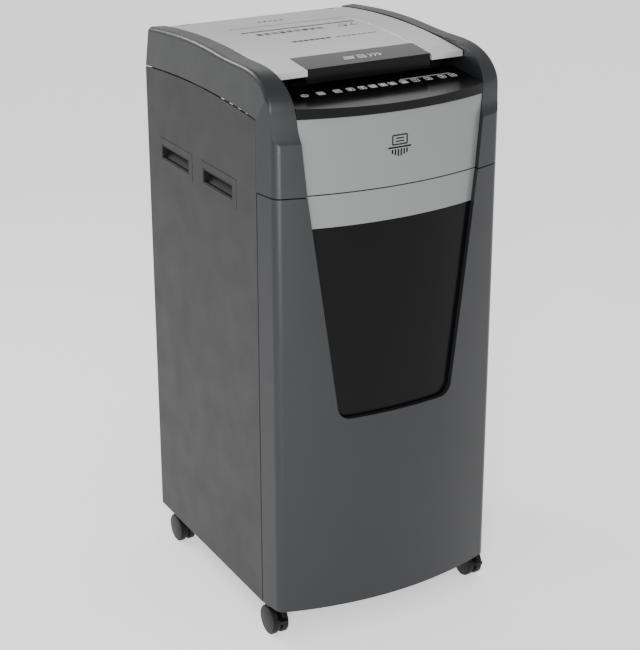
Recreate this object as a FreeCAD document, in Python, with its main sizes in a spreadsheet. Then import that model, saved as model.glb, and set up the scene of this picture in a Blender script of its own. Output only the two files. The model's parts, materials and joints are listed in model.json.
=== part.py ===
"""Office paper shredder with automatic feed, as a parametric document of separate sub-parts.

Frame: millimetres, +Z up, +X to the right of somebody standing in front, front towards -Y.
The origin is on the floor, under the middle of the machine. Every size sits in the Sizes
sheet; PLACES names the positions that follow from them.
"""
import FreeCAD, Part
import math
import os
import re

Vector = FreeCAD.Vector
Rotation = FreeCAD.Rotation

# alias, value in millimetres, what it is
SIZES = [
    ("cabinet_width", 450, "over the side panels"),
    ("panel_depth", 433, "front seam to rear face"),
    ("front_bulge", 86, "front seam to the furthest point of the bowed front"),
    ("bow_sagitta", 34, "how far the front bows forward across bow_half"),
    ("bow_half", 205, "half of the chord that bow_sagitta is given for"),
    ("corner_radius", 18, "front vertical corners"),
    ("corner_lean", 8, "how far the front side wall leans in towards the corner"),
    ("door_height", 766, "underside of the cabinet to the seam between door and head"),
    ("head_height", 202.5, "that seam to the top of the rails"),
    ("side_height", 887, "underside of the cabinet to the top edge of a side panel, front"),
    ("arch_rise", 10, "rise of that edge half way back"),
    ("seam_gap", 2, "visible gap between two covers"),
    ("panel_wall", 3, "sheet of the side and rear panels"),
    ("shell_wall", 3, "moulded covers"),
    ("fit_gap", 0.5, "gap between pieces that are fastened together"),
    ("run_gap", 0.05, "radial gap of a running fit"),
    ("cheek_lean", 9, "how far the cheek of the head leans in at its top"),
    ("crease_radius", 9, "rounding along the top of the cheek"),
    ("rail_width", 39, "head rail on either side of the lid"),
    ("shield_seam_half", 166, "half width of the front recess at the head seam"),
    ("shield_foot_half", 112, "half width of the front recess at its foot"),
    ("shield_foot", 363, "underside of the cabinet to the foot of the recess"),
    ("shield_corner", 24, "rounding of the lower corners of the recess"),
    ("shield_depth", 9, "depth of the recess to the window face"),
    ("window_wall", 3, "window, trim and fascia plates"),
    ("window_frame", 10, "door frame that shows behind the edge of the window"),
    ("trim_height", 56, "trim strip at the top of the door"),
    ("fascia_height", 127, "fascia plate under the control panel"),
    ("nose_height", 15, "front lip of the control panel"),
    ("nose_setback", 1, "furthest point of the front to that of the lip"),
    ("nose_sagitta", 34, "how far the lip bows forward"),
    ("panel_rise", 13, "rise of the control panel towards its rear edge"),
    ("panel_rear", 45, "front seam to the rear edge of the control panel"),
    ("lid_front", 17, "front seam to the front edge of the lid"),
    ("lid_back_gap", 10, "rear edge of the lid to the rear face"),
    ("lid_wall", 4, "lid plate"),
    ("lid_lip", 10, "front lip and side skirts of the lid"),
    ("handle_half", 120, "half width of the lid handle"),
    ("handle_front", 22, "front seam to the face of the handle skirt"),
    ("handle_rear", 81, "front seam to the rear edge of the handle"),
    ("handle_skirt", 25, "depth of the handle skirt"),
    ("label_rear", 305, "front seam to the rear edge of the recess in the lid"),
    ("label_depth", 1.2, "depth of that recess"),
    ("lid_pin_radius", 1.6, "lid hinge pins"),
    ("lid_knuckle", 4, "radius of the lid hinge knuckles"),
    ("lid_knuckle_x", 130, "middle of a lid knuckle"),
    ("knuckle_length", 18, "length of a knuckle"),
    ("door_pin_radius", 2.5, "door hinge pins"),
    ("door_pin_inset", 9, "door pin from the side face, and 1 more from the seam"),
    ("door_pin_length", 22, "length of a door pin"),
    ("bracket_wall", 2.5, "door hinge brackets"),
    ("door_pull_low", 649, "underside of the cabinet to the foot of the door pull"),
    ("door_pull_high", 756, "the same to its top"),
    ("door_pull_depth", 11, "side face to the floor of the door pull"),
    ("base_wall", 5, "base tray"),
    ("divider_drop", 45, "head seam to the top of the divider shelf"),
    ("divider_wall", 4, "divider shelf"),
    ("jamb_width", 10, "door jambs"),
    ("jamb_depth", 8, "door jambs"),
    ("jamb_setback", 4.5, "front seam to the face of the jambs"),
    ("bin_inset", 31, "side face to the side of the bin"),
    ("bin_front", 9, "front seam to the front of the bin"),
    ("bin_rear_gap", 30, "bin to rear panel"),
    ("bin_height", 622, "bin"),
    ("bin_wall", 3, "bin"),
    ("bin_grip_width", 110, "hand slot of the bin"),
    ("bin_grip_height", 28, "hand slot of the bin"),
    ("grip_width", 114, "carrying grip"),
    ("grip_height", 27, "carrying grip"),
    ("grip_depth", 15, "carrying grip"),
    ("grip_z", 729, "underside of the cabinet to the foot of a grip"),
    ("grip_front_y", 89, "front seam to the front grip"),
    ("grip_rear_y", 260, "front seam to the rear grip"),
    ("groove_width", 1.6, "line cut in the side panel round a grip"),
    ("groove_depth", 0.8, "the same"),
    ("groove_over", 12, "grip to the line above it"),
    ("groove_ahead", 15, "grip to the line ahead of it"),
    ("chassis_half", 131, "middle of the machine to the inside of a chassis plate"),
    ("chassis_wall", 4, "chassis plates"),
    ("chassis_front", 8, "front seam to the chassis plates"),
    ("chassis_length", 206, "chassis plates"),
    ("chassis_height", 110, "chassis plates above the divider"),
    ("tie_radius", 5, "chassis tie bars"),
    ("cutter_y", 48, "front seam to the front cutter"),
    ("cutter_rise", 61, "divider to the cutter axes"),
    ("gear_module", 2, "module of the gears on the cutters"),
    ("fine_module", 1.5, "module of the first reduction"),
    ("cutter_shaft", 12, "radius of the cutter shafts between the discs"),
    ("journal_radius", 8, "radius of the cutter journals"),
    ("disc_radius", 24, "cutter discs"),
    ("disc_wall", 5.4, "cutter discs"),
    ("disc_pitch", 12, "from disc to disc"),
    ("finger_wall", 4.6, "stripper fingers"),
    ("bearing_radius", 13, "outside of the cutter bearings"),
    ("gear_wall", 8, "gears on the cutters"),
    ("wheel_wall", 7, "wheel of the compound gear"),
    ("gear_gap", 4, "chassis plate to the gears, and gear to gear"),
    ("axle_radius", 4, "axle of the compound gear"),
    ("motor_radius", 34, "motor"),
    ("motor_length", 140, "motor"),
    ("motor_shaft", 4, "radius of the motor shaft"),
    ("chamber_half", 160, "inside half width of the feed chamber"),
    ("chamber_front", 98, "front seam to the chamber"),
    ("chamber_back_gap", 23, "rear of the chamber to the rear face"),
    ("chamber_drop", 102, "top of the rails to the chamber floor"),
    ("chamber_height", 72, "walls of the feed chamber"),
    ("chamber_wall", 2.5, "feed chamber"),
    ("chute_length", 42, "opening in the chamber floor over the rollers"),
    ("roller_y", 121, "front seam to the pick-up shaft"),
    ("roller_drop", 6, "chamber floor to the pick-up shaft"),
    ("roller_radius", 14, "pick-up rollers"),
    ("roller_width", 34, "pick-up rollers"),
    ("roller_pitch", 78, "from roller to roller"),
    ("roller_shaft", 4, "radius of the pick-up shaft"),
    ("pulley_radius", 13, "belt pulleys"),
    ("pulley_wall", 8, "belt pulleys"),
    ("belt_wall", 2, "belt"),
    ("belt_gap", 0.4, "belt to pulley"),
    ("throat_front", 47, "front seam to the throat guide"),
    ("throat_length", 17, "outside of the throat guide, front to rear"),
    ("throat_wall", 2.5, "throat guide"),
    ("throat_height", 100, "throat guide"),
    ("plate_half", 110, "half width of the pressure plate"),
    ("plate_length", 200, "pressure plate"),
    ("plate_y", 170, "front seam to the pressure plate"),
    ("plate_wall", 2.5, "pressure plate"),
    ("plate_drop", 32, "lid top to the pressure plate"),
    ("stem_radius", 4, "guide stems of the pressure plate"),
    ("board_half", 150, "half width of the control board"),
    ("board_wall", 1.6, "control board"),
    ("gland_radius", 8, "outside of the cord gland"),
    ("gland_bore", 3.7, "bore of the cord gland"),
    ("gland_length", 9, "cord gland"),
    ("gland_x", 150, "cord gland"),
    ("gland_z", 122, "cord gland above the underside of the cabinet"),
    ("switch_x", 90, "power switch"),
    ("rocker_width", 12, "power rocker"),
    ("rocker_height", 22, "power rocker"),
    ("rocker_depth", 5, "power rocker"),
    ("rocker_pin", 1.5, "radius of the rocker's pin"),
    ("switch_depth", 24, "power switch body"),
    ("vent_width", 90, "cooling slots in the rear panel"),
    ("vent_height", 5, "cooling slots in the rear panel"),
    ("vent_pitch", 12, "cooling slots in the rear panel"),
    ("screw_radius", 2, "case screws"),
    ("screw_head", 3.5, "case screws"),
    ("screw_length", 12, "case screws"),
    ("catch_width", 18, "door catch and strike"),
    ("catch_height", 16, "door catch and strike"),
    ("catch_depth", 14, "door catch"),
    ("strike_wall", 2.5, "door strike"),
    ("plunger_radius", 2, "door switch plunger"),
    ("plunger_travel", 2, "travel of the interlock plunger"),
    ("bolt_radius", 3, "lid lock bolt"),
    ("caster_inset", 17, "side face to the caster stem"),
    ("caster_front_y", 10.5, "front seam to the front stems"),
    ("caster_rear_y", 35, "rear face to the rear stems"),
    ("caster_trail", 22, "stem to wheel axle"),
    ("wheel_radius", 27, "caster wheels"),
    ("wheel_room", 4, "top of the wheels to the underside of the cabinet"),
    ("wheel_width", 11.5, "caster wheels"),
    ("wheel_gap", 7.4, "between the two wheels of a caster"),
    ("caster_axle", 3, "radius of the caster axle"),
    ("stem_pin", 5, "radius of the caster stem"),
    ("stem_length", 24, "caster stem inside its socket"),
    ("socket_radius", 8, "outside of the caster socket"),
    ("web_wall", 6, "web of the caster fork"),
    ("lever_pin", 1.4, "radius of the brake lever's pin"),
    ("lever_width", 15, "pad of the brake lever"),
]

# Teeth of the gears on the cutters, of both steps of the compound gear and of the motor pinion.
SYNC_TEETH, SMALL_TEETH, LARGE_TEETH, DRIVER_TEETH = 22, 11, 48, 12

# Positions that follow from the sizes.
PLACES = {
    "half_width": "cabinet_width / 2",
    "front_seam": "(front_bulge - panel_depth) / 2",
    "rear_face": "(front_bulge + panel_depth) / 2",
    "underside": "2 * wheel_radius + wheel_room",
    "head_seam": "underside + door_height",
    "rail_top": "head_seam + head_height",
    "shield_top_half": "half_width - rail_width",
    "divider_top": "head_seam - divider_drop",
    "panel_inside": "half_width - panel_wall",
    "cutter_z": "divider_top + cutter_rise",
    "cutter_spacing": f"gear_module * {SYNC_TEETH}",
    "chassis_outside": "chassis_half + chassis_wall",
    "compound_y": f"cutter_y + cutter_spacing + gear_module * {SYNC_TEETH + SMALL_TEETH} / 2",
    "motor_y": f"compound_y + fine_module * {LARGE_TEETH + DRIVER_TEETH} / 2",
    "wheel_plane": "chassis_outside + gear_gap + gear_wall + gear_gap",
    "chamber_floor": "rail_top - chamber_drop",
    "roller_z": "chamber_floor - roller_drop",
    "nose_foot": "head_seam + seam_gap / 2 + fascia_height",
    "nose_top": "nose_foot + nose_height",
    "nose_apex": "front_bulge - nose_setback",
    "lid_rear": "panel_depth - lid_back_gap",
    "chamber_rear": "panel_depth - chamber_back_gap",
    "door_pin_x": "door_pin_inset - half_width",
    "door_pin_y": "front_seam - door_pin_inset - 1",
    "lid_axis_y": "front_seam + lid_rear - 2",
    "lid_axis_z": "rail_top - 17",
}

doc = FreeCAD.newDocument("PaperShredder")
sheet = doc.addObject("Spreadsheet::Sheet", "Sizes")
for line, (alias, amount, note) in enumerate(SIZES, start=1):
    sheet.set(f"A{line}", alias)
    sheet.set(f"B{line}", str(amount))
    sheet.setAlias(f"B{line}", alias)
    sheet.set(f"C{line}", note)
doc.recompute()

ALIASES = {alias for alias, _, _ in SIZES}


def spell(text):
    """Spells a formula of sizes and places out in the sheet's own aliases."""
    def replace(match):
        word = match.group(0)
        if word in PLACES:
            return "(" + spell(PLACES[word]) + ")"
        if word in ALIASES:
            return "Sizes." + word
        raise KeyError(word)
    return re.sub(r"[a-z][a-z_]*", replace, str(text))


def value(text):
    """The number that a formula of sizes and places has now."""
    return float(sheet.evalExpression(spell(text)))


def bind(item, **formulas):
    """Ties properties of an object to the sheet; at=(x, y, z) ties its position."""
    for name, text in formulas.items():
        if name == "at":
            for letter, part in zip("xyz", text):
                item.setExpression("Placement.Base." + letter, spell(part))
        else:
            item.setExpression(name, spell(text))
    return item


def box(name, low, size):
    """A box from its lowest corner and its three sizes."""
    item = doc.addObject("Part::Box", name)
    return bind(item, Length=size[0], Width=size[1], Height=size[2], at=low)


TURNS = {
    "X": Rotation(Vector(0, 0, 1), Vector(1, 0, 0)),
    "Y": Rotation(Vector(0, 0, 1), Vector(0, 1, 0)),
    "Z": Rotation(),
}


def rod(name, start, axis, radius, length):
    """A cylinder from the middle of its first end, along one axis."""
    item = doc.addObject("Part::Cylinder", name)
    item.Placement = FreeCAD.Placement(Vector(), TURNS[axis])
    return bind(item, Radius=radius, Height=length, at=start)


def fuse(name, items):
    """One object from several that join."""
    item = doc.addObject("Part::MultiFuse", name)
    item.Shapes = items
    return item


def cut(name, base, tools):
    """The base less the tools."""
    item = doc.addObject("Part::Cut", name)
    item.Base = base
    item.Tool = tools[0] if len(tools) == 1 else fuse(name + "_tools", tools)
    return item


def group(name, items):
    """Several separate solids as one object."""
    item = doc.addObject("Part::Compound", name)
    item.Links = items
    return item


def feature(name, shape):
    """A sub-part whose shape is worked out below from the sheet."""
    item = doc.addObject("Part::Feature", name)
    item.Shape = shape
    item.Placement = FreeCAD.Placement()
    return item


NODES = []


def node(item, label):
    """Marks an object as a sub-part of its own and names it."""
    item.Label = label
    NODES.append(item)
    return item


# ---------------------------------------------------------------- outlines and blocks

def prism(points, axis, start, length):
    """Extrudes a closed polygon given in the plane across the axis.

    The points are (y, z) for X, (x, z) for Y and (x, y) for Z.
    """
    place = {
        "X": lambda p: Vector(start, p[0], p[1]),
        "Y": lambda p: Vector(p[0], start, p[1]),
        "Z": lambda p: Vector(p[0], p[1], start),
    }[axis]
    ring = [place(p) for p in points]
    face = Part.Face(Part.makePolygon(ring + ring[:1]))
    away = {"X": Vector(length, 0, 0), "Y": Vector(0, length, 0), "Z": Vector(0, 0, length)}
    return face.extrude(away[axis])


def bow_radius(sagitta, half):
    """Radius of an arc from its rise and half its chord."""
    return (half ** 2 + sagitta ** 2) / (2 * sagitta)


def bow_y(x, inset):
    """Depth of the bowed front at x, moved back by inset."""
    radius = bow_radius(value("bow_sagitta"), value("bow_half"))
    apex = value("front_seam - front_bulge")
    return apex + radius - math.sqrt((radius - inset) ** 2 - x ** 2)


def bowed_block(inset, low, high, rear, rounding=True):
    """A block with the bowed front and leaning front sides, inset on those three sides."""
    half = value("half_width") - inset
    seam = value("front_seam")
    lean = value("corner_lean")
    side_x = half - lean * 1.02
    left, right = -side_x, side_x
    front = bow_y(side_x, inset)
    edges = [
        Part.makeLine(Vector(right, front, low), Vector(half, seam, low)),
        Part.makeLine(Vector(half, seam, low), Vector(half, rear, low)),
        Part.makeLine(Vector(half, rear, low), Vector(-half, rear, low)),
        Part.makeLine(Vector(-half, rear, low), Vector(-half, seam, low)),
        Part.makeLine(Vector(-half, seam, low), Vector(left, front, low)),
        Part.Arc(Vector(left, front, low), Vector(0, bow_y(0, inset), low),
                 Vector(right, front, low)).toShape(),
    ]
    block = Part.Face(Part.Wire(edges)).extrude(Vector(0, 0, high - low))
    if not rounding:
        return block
    radius = value("corner_radius") - inset
    corners = [edge for edge in block.Edges
               if abs(abs(edge.CenterOfMass.x) - side_x) < 0.01
               and abs(edge.CenterOfMass.z - (low + high) / 2) < 0.01]
    return block.makeFillet(max(radius, 1.0), corners)


def shield_outline(shrink):
    """The tapered front recess in the (x, z) plane, as a face at the front, shrunk by a margin."""
    foot, seam, top = value("underside + shield_foot"), value("head_seam"), value("rail_top + 30")
    at_foot, at_seam = value("shield_foot_half"), value("shield_seam_half")
    at_rail = value("shield_top_half")
    slope = (at_rail - at_seam) / value("head_height")
    at_top = at_seam + slope * (top - seam)
    points = [(at_foot, foot + shrink), (at_seam, seam), (at_top, top)]
    right = [(x - shrink, z) for x, z in points]
    left = [(-x, z) for x, z in reversed(right)]
    return right + left


def shield_block(shrink, low, high, rounded=True):
    """The recess as a solid from front to rear, between two heights."""
    front = value("front_seam - front_bulge - 20")
    block = prism(shield_outline(shrink), "Y", front, value("rear_face + 20") - front)
    foot = value("underside + shield_foot") + shrink
    if rounded and low < foot + 1:
        corners = [edge for edge in block.Edges
                   if abs(edge.CenterOfMass.z - foot) < 0.01
                   and abs(abs(edge.CenterOfMass.x) - (value("shield_foot_half") - shrink)) < 0.01]
        block = block.makeFillet(max(value("shield_corner") - shrink, 2.0), corners)
    wide = value("cabinet_width")
    keep = Part.makeBox(2 * wide, 4 * wide, high - low, Vector(-wide, -2 * wide, low))
    return block.common(keep)


def plate_on_bow(low, high, near, far, shrink):
    """A plate that follows the bowed front between two depths, inside the recess."""
    rear = value("front_seam") + 10
    sheet_block = bowed_block(near, low, high, rear, rounding=False)
    sheet_block = sheet_block.cut(bowed_block(far, low - 1, high + 1, rear + 10, rounding=False))
    return sheet_block.common(shield_block(shrink, low, high))


# ---------------------------------------------------------------- cabinet

def side_panel(label, side):
    """A flat sheet with an arched top edge, two grip openings and the lines round them."""
    left = side < 0
    x = "-half_width" if left else "half_width - panel_wall"
    front = "front_seam + seam_gap"
    sheet_box = box(label + "_sheet", (x, front, "underside"),
                    ("panel_wall", "panel_depth - seam_gap", "side_height + arch_rise"))
    radius = "((panel_depth * panel_depth / 4 + arch_rise * arch_rise) / (2 * arch_rise))"
    arch = rod(label + "_arch",
               (x, "front_seam + panel_depth / 2", f"underside + side_height + arch_rise - {radius}"),
               "X", radius, "panel_wall")
    outline = doc.addObject("Part::Common", label + "_outline")
    outline.Base, outline.Tool = sheet_box, arch
    tools = []
    groove_x = "-half_width" if left else "half_width - groove_depth"
    for word, grip in (("front", "grip_front_y"), ("rear", "grip_rear_y")):
        low = f"front_seam + {grip}"
        foot = "underside + grip_z"
        tools.append(box(f"{label}_{word}_grip", (x, low, foot),
                         ("panel_wall", "grip_width", "grip_height")))
        tools.append(box(f"{label}_{word}_line_over",
                         (groove_x, low + " - groove_ahead", foot + " + grip_height + groove_over"),
                         ("groove_depth", "grip_width + groove_ahead + 6", "groove_width")))
        tools.append(box(f"{label}_{word}_line_ahead",
                         (groove_x, low + " - groove_ahead", foot + " - groove_over"),
                         ("groove_depth", "groove_width", "grip_height + 2 * groove_over")))
    return node(cut(label, outline, tools), label)


def grip_cups():
    """Four finger cups behind the grip openings, each with a sloping floor."""
    depth, wide, tall = value("grip_depth"), value("grip_width"), value("grip_height")
    wall, gap = value("shell_wall"), value("fit_gap")
    face = value("half_width") - gap
    foot = value("underside + grip_z")
    cups = []
    for side in (-1, 1):
        for start in (value("front_seam + grip_front_y"), value("front_seam + grip_rear_y")):
            behind = value("panel_inside") - gap
            collar = prism([(side * face, foot + gap), (side * behind, foot + gap),
                            (side * behind, foot - wall), (side * (behind - depth), foot - wall),
                            (side * (behind - depth), foot + tall + wall),
                            (side * behind, foot + tall + wall), (side * behind, foot + tall - gap),
                            (side * face, foot + tall - gap)],
                           "Y", start + gap, wide - 2 * gap)
            hollow = prism([(side * (face + 1), foot + wall), (side * (behind - 2), foot + wall),
                            (side * (behind - depth + wall), foot + tall - 3 * wall),
                            (side * (behind - depth + wall), foot + tall - wall),
                            (side * (face + 1), foot + tall - wall)],
                           "Y", start + wall, wide - 2 * wall)
            cups.append(collar.cut(hollow))
    return node(feature("grip_cups", Part.makeCompound(cups)), "grip_cups")


def screw_places():
    """Case screws down both edges of the rear panel, as (x, z) formulas."""
    heights = ("underside + 30", "underside + side_height / 2", "underside + side_height - 40")
    return [(f"{sign} * (half_width - 14)", z) for sign in (-1, 1) for z in heights]


def rear_panel():
    """The rear sheet with openings for the vents, the cord gland, the switch and the screws."""
    rear = "rear_face - panel_wall"
    sheet_box = box("rear_sheet", ("-panel_inside", rear, "underside"),
                    ("2 * panel_inside", "panel_wall", "side_height - 3"))
    tools = []
    for count in range(6):
        tools.append(box(f"vent_{count}",
                         ("-vent_width / 2 - 60", rear, f"divider_top + 24 + {count} * vent_pitch"),
                         ("vent_width", "panel_wall", "vent_height")))
    tools.append(rod("gland_hole", ("gland_x", rear, "underside + gland_z"), "Y",
                     "gland_radius", "panel_wall"))
    tools.append(box("rocker_hole",
                     ("switch_x - rocker_width / 2 - 1", rear,
                      "underside + gland_z - rocker_height / 2 - 1"),
                     ("rocker_width + 2", "panel_wall", "rocker_height + 2")))
    for count, (x, z) in enumerate(screw_places()):
        tools.append(rod(f"screw_hole_{count}", (x, rear, z), "Y", "screw_head + 0.2", "panel_wall"))
    return node(cut("rear_panel", sheet_box, tools), "rear_panel")


def case_screws():
    """Pan-head screws, flush with the rear face."""
    screws = []
    for count, (x, z) in enumerate(screw_places()):
        head = rod(f"head_{count}", (x, "rear_face - 2", z), "Y", "screw_head", "2")
        shank = rod(f"shank_{count}", (x, "rear_face - screw_length", z), "Y",
                    "screw_radius", "screw_length - 2")
        screws.append(fuse(f"screw_{count}", [head, shank]))
    return node(group("case_screws", screws), "case_screws")


CASTERS = [
    ("front_left", "-(half_width - caster_inset)", "front_seam + caster_front_y", True),
    ("front_right", "half_width - caster_inset", "front_seam + caster_front_y", True),
    ("rear_left", "-(half_width - caster_inset)", "rear_face - caster_rear_y", False),
    ("rear_right", "half_width - caster_inset", "rear_face - caster_rear_y", False),
]


def base_tray():
    """The floor of the cabinet with its caster holes and the lower door hinge bracket."""
    floor = box("base_floor", ("-panel_inside", "front_seam + jamb_setback", "underside"),
                ("2 * panel_inside", "panel_depth - jamb_setback - panel_wall", "base_wall"))
    ear = box("base_ear", ("-panel_inside", "door_pin_y - 6", "underside - bracket_wall"),
              ("caster_inset + 6", "door_pin_inset + 1 + 6 + caster_front_y + 22", "bracket_wall"))
    holes = [rod(f"base_hole_{name}", (x, y, "underside - bracket_wall"), "Z", "socket_radius",
                 "base_wall + bracket_wall") for name, x, y, _ in CASTERS]
    pin_hole = rod("base_pin_hole", ("door_pin_x", "door_pin_y", "underside - bracket_wall"), "Z",
                   "door_pin_radius", "bracket_wall")
    return node(cut("base_tray", fuse("base_body", [floor, ear]), holes + [pin_hole]), "base_tray")


def caster_sockets():
    """Four closed bushes in the base that hold the caster stems."""
    sockets = []
    for name, x, y, _ in CASTERS:
        foot = "underside - bracket_wall"
        bush = rod(f"bush_{name}", (x, y, foot), "Z", "socket_radius", "stem_length + 6")
        bore = rod(f"bush_bore_{name}", (x, y, foot), "Z", "stem_pin + run_gap", "stem_length + 1")
        sockets.append(cut(f"socket_{name}", bush, [bore]))
    return node(group("caster_sockets", sockets), "caster_sockets")


def divider_shelf():
    """The shelf that carries the cutting unit, open under the cutters, with the upper hinge ear."""
    floor = "divider_top - divider_wall"
    shelf = box("shelf_sheet", ("-panel_inside", "front_seam + jamb_setback", floor),
                ("2 * panel_inside", "panel_depth - jamb_setback - panel_wall", "divider_wall"))
    post = box("hinge_post", ("-panel_inside", "front_seam + jamb_setback", floor),
               ("18", "12", "head_seam + seam_gap - divider_top + divider_wall + 2"))
    ear = box("hinge_ear", ("door_pin_x - door_pin_radius - 0.8", "door_pin_y - 4.4",
                            "head_seam + seam_gap"),
              ("door_pin_radius + 10", "door_pin_inset + 1 + 4.4 + jamb_setback + 12",
               "bracket_wall"))
    mouth = box("shelf_mouth", ("-(chassis_half - 9)", "front_seam + cutter_y - 26", floor),
                ("2 * (chassis_half - 9)", "cutter_spacing + 52", "divider_wall"))
    pin_hole = rod("ear_pin_hole", ("door_pin_x", "door_pin_y", "head_seam + seam_gap"), "Z",
                   "door_pin_radius", "bracket_wall")
    return node(cut("divider_shelf", fuse("shelf_body", [shelf, post, ear]), [mouth, pin_hole]),
                "divider_shelf")


def door_jambs():
    """Two upright stiles behind the door's edges."""
    foot = "underside + base_wall"
    tall = "divider_top - divider_wall - underside - base_wall"
    stiles = []
    for word, x in (("left", "-panel_inside"), ("right", "panel_inside - jamb_width")):
        stiles.append(box(f"jamb_{word}", (x, "front_seam + jamb_setback", foot),
                          ("jamb_width", "jamb_depth", tall)))
    sockets = [rod(f"jamb_relief_{name}", (x, y, foot), "Z", "socket_radius + 1", "stem_length")
               for name, x, y, front in CASTERS if front]
    return node(cut("door_jambs", group("jamb_pair", stiles), sockets), "door_jambs")


# ---------------------------------------------------------------- head covers

def rail_profile(inset):
    """Points of the head's top line, from the rear to the front seam, as (y, z) on the middle."""
    seam, rear, top = value("front_seam"), value("rear_face"), value("rail_top")
    shift = value("bow_sagitta") * 0.92
    deep = value("panel_depth")
    foot = value("head_seam")
    apex = seam - value("front_bulge")
    return [
        (rear + 60, top - 21 - inset),
        (rear - 6 - shift, top - 10.5 - inset),
        (seam + deep * 0.77 - shift, top - 2.5 - inset),
        (seam + deep * 0.49 - shift, top - inset),
        (seam + deep * 0.226 - shift, top - 4.5 - inset),
        (seam + 3 - shift, top - 12.5 - inset),
        (seam - 27 - shift + inset * 0.6, top - 29 - inset * 0.8),
        (seam - 45 - shift + inset * 0.95, top - 58 - inset * 0.3),
        (apex + 4 + inset, top - 105),
        (apex + 1 + inset, (top + foot) / 2 - 10),
        (apex + inset, foot - 20),
    ]


def over_head(inset):
    """Everything above and ahead of the head's curved top and front."""
    profile = Part.BSplineCurve()
    profile.interpolate([Vector(0, y, z) for y, z in rail_profile(inset)])
    half = value("half_width") + 5
    apex = bow_y(0, inset)
    across = Part.BSplineCurve()
    across.interpolate([Vector(x, bow_y(x, inset) - apex, 0)
                        for x in (-half, -half * 0.67, -half * 0.33, 0, half * 0.33, half * 0.67, half)])
    poles = [[a + p for a in across.getPoles()] for p in profile.getPoles()]
    skin = Part.BSplineSurface()
    skin.buildFromPolesMultsKnots(poles, profile.getMultiplicities(), across.getMultiplicities(),
                                  profile.getKnots(), across.getKnots(), False, False,
                                  profile.Degree, across.Degree)
    return skin.toShape().extrude(Vector(0, -500, 500))


def head_block(inset, low):
    """The whole head as one solid, inset on every outer side."""
    wide, lean = value("half_width") - inset, value("cheek_lean")
    rear = value("rear_face") - inset
    top = value("rail_top") + 20
    cheek_foot = value("underside + side_height")
    slope = lean / (value("rail_top") - cheek_foot)
    at_top = wide - slope * (top - cheek_foot)
    outline = [(-wide, low), (wide, low), (wide, cheek_foot), (at_top, top), (-at_top, top),
               (-wide, cheek_foot)]
    front = value("front_seam - front_bulge - 20")
    cheeks = prism(outline, "Y", front, rear - front)
    plan = bowed_block(inset, low, top, rear, rounding=True)
    return plan.common(cheeks).cut(over_head(inset))


def soften(shape, test, radius):
    """Rounds the edges that pass the test."""
    return shape.makeFillet(radius, [edge for edge in shape.Edges if test(edge)])


def top_cover(label, side):
    """One side of the head: cheek, rail and front arm as a hollow moulding."""
    low = value("head_seam + seam_gap / 2")
    wall = value("shell_wall")
    hollow = head_block(wall, low - 1).cut(shield_block(-wall, low - 2, value("rail_top") + 20,
                                                        rounded=False))
    gap = value("seam_gap")
    radius = bow_radius(value("arch_rise"), value("panel_depth") / 2)
    middle = value("front_seam + panel_depth / 2")
    arch = Part.makeCylinder(radius + gap, value("cabinet_width") + 20,
                             Vector(-value("half_width") - 10, middle,
                                    value("underside + side_height + arch_rise") - radius),
                             Vector(1, 0, 0))
    start = value("front_seam + seam_gap / 2")
    sides = Part.makeBox(value("cabinet_width") + 20, value("panel_depth") + 10, 400,
                         Vector(-value("half_width") - 10, start, low - 10))
    cover = OUTER_HEAD.cut(hollow).cut(arch.common(sides))
    cover = cover.cut(shield_block(0, low - 2, value("rail_top") + 20, rounded=False))
    half = Part.makeBox(400, 900, 500, Vector(0 if side > 0 else -400, -450, low - 50))
    piece = cover.common(half)
    solids = sorted(piece.Solids, key=lambda solid: solid.Volume)
    return node(feature(label, solids[-1]), label)


def cheek_crease(edge):
    """True for the line where a cheek meets the rail above it."""
    middle = edge.CenterOfMass
    along_side = abs(abs(middle.x) - value("half_width")) < value("cheek_lean") + 6
    box_size = edge.BoundBox
    return along_side and box_size.YLength > 150 and middle.z > value("underside + side_height + 20")


OUTER_HEAD = soften(head_block(0, value("head_seam + seam_gap / 2")), cheek_crease,
                    value("crease_radius"))


def top_cover_rear():
    """The strip behind the lid, with two knuckles for the lid's hinge pins."""
    low, high = "underside + side_height", "lid_axis_z + 3"
    bar = box("rear_bar", ("-(shield_top_half - 10)", "front_seam + lid_rear + 3.5", low),
              ("2 * (shield_top_half - 10)", "panel_depth - lid_rear - 3.5", f"{high} - ({low})"))
    pieces, bores = [bar], []
    for word, x in (("left", "-(lid_knuckle_x + 1.5 * knuckle_length + 1)"),
                    ("right", "lid_knuckle_x + knuckle_length / 2 + 1")):
        pieces.append(rod(f"rear_knuckle_{word}", (x, "lid_axis_y", "lid_axis_z"), "X",
                          "lid_knuckle - 0.5", "knuckle_length"))
        pieces.append(box(f"rear_knuckle_foot_{word}", (x, "lid_axis_y", "lid_axis_z - 12"),
                          ("knuckle_length", "panel_depth - lid_rear", "12")))
        bores.append(rod(f"rear_bore_{word}", (x, "lid_axis_y", "lid_axis_z"), "X",
                         "lid_pin_radius", "knuckle_length"))
    return node(cut("top_cover_rear", fuse("rear_cover_body", pieces), bores), "top_cover_rear")


def front_fascia():
    """The bright plate between the arms of the head."""
    low = value("head_seam + seam_gap / 2")
    near = value("shield_depth")
    plate = plate_on_bow(low, low + value("fascia_height"), near, near + value("window_wall"),
                         value("fit_gap"))
    return node(feature("front_fascia", plate), "front_fascia")


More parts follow.
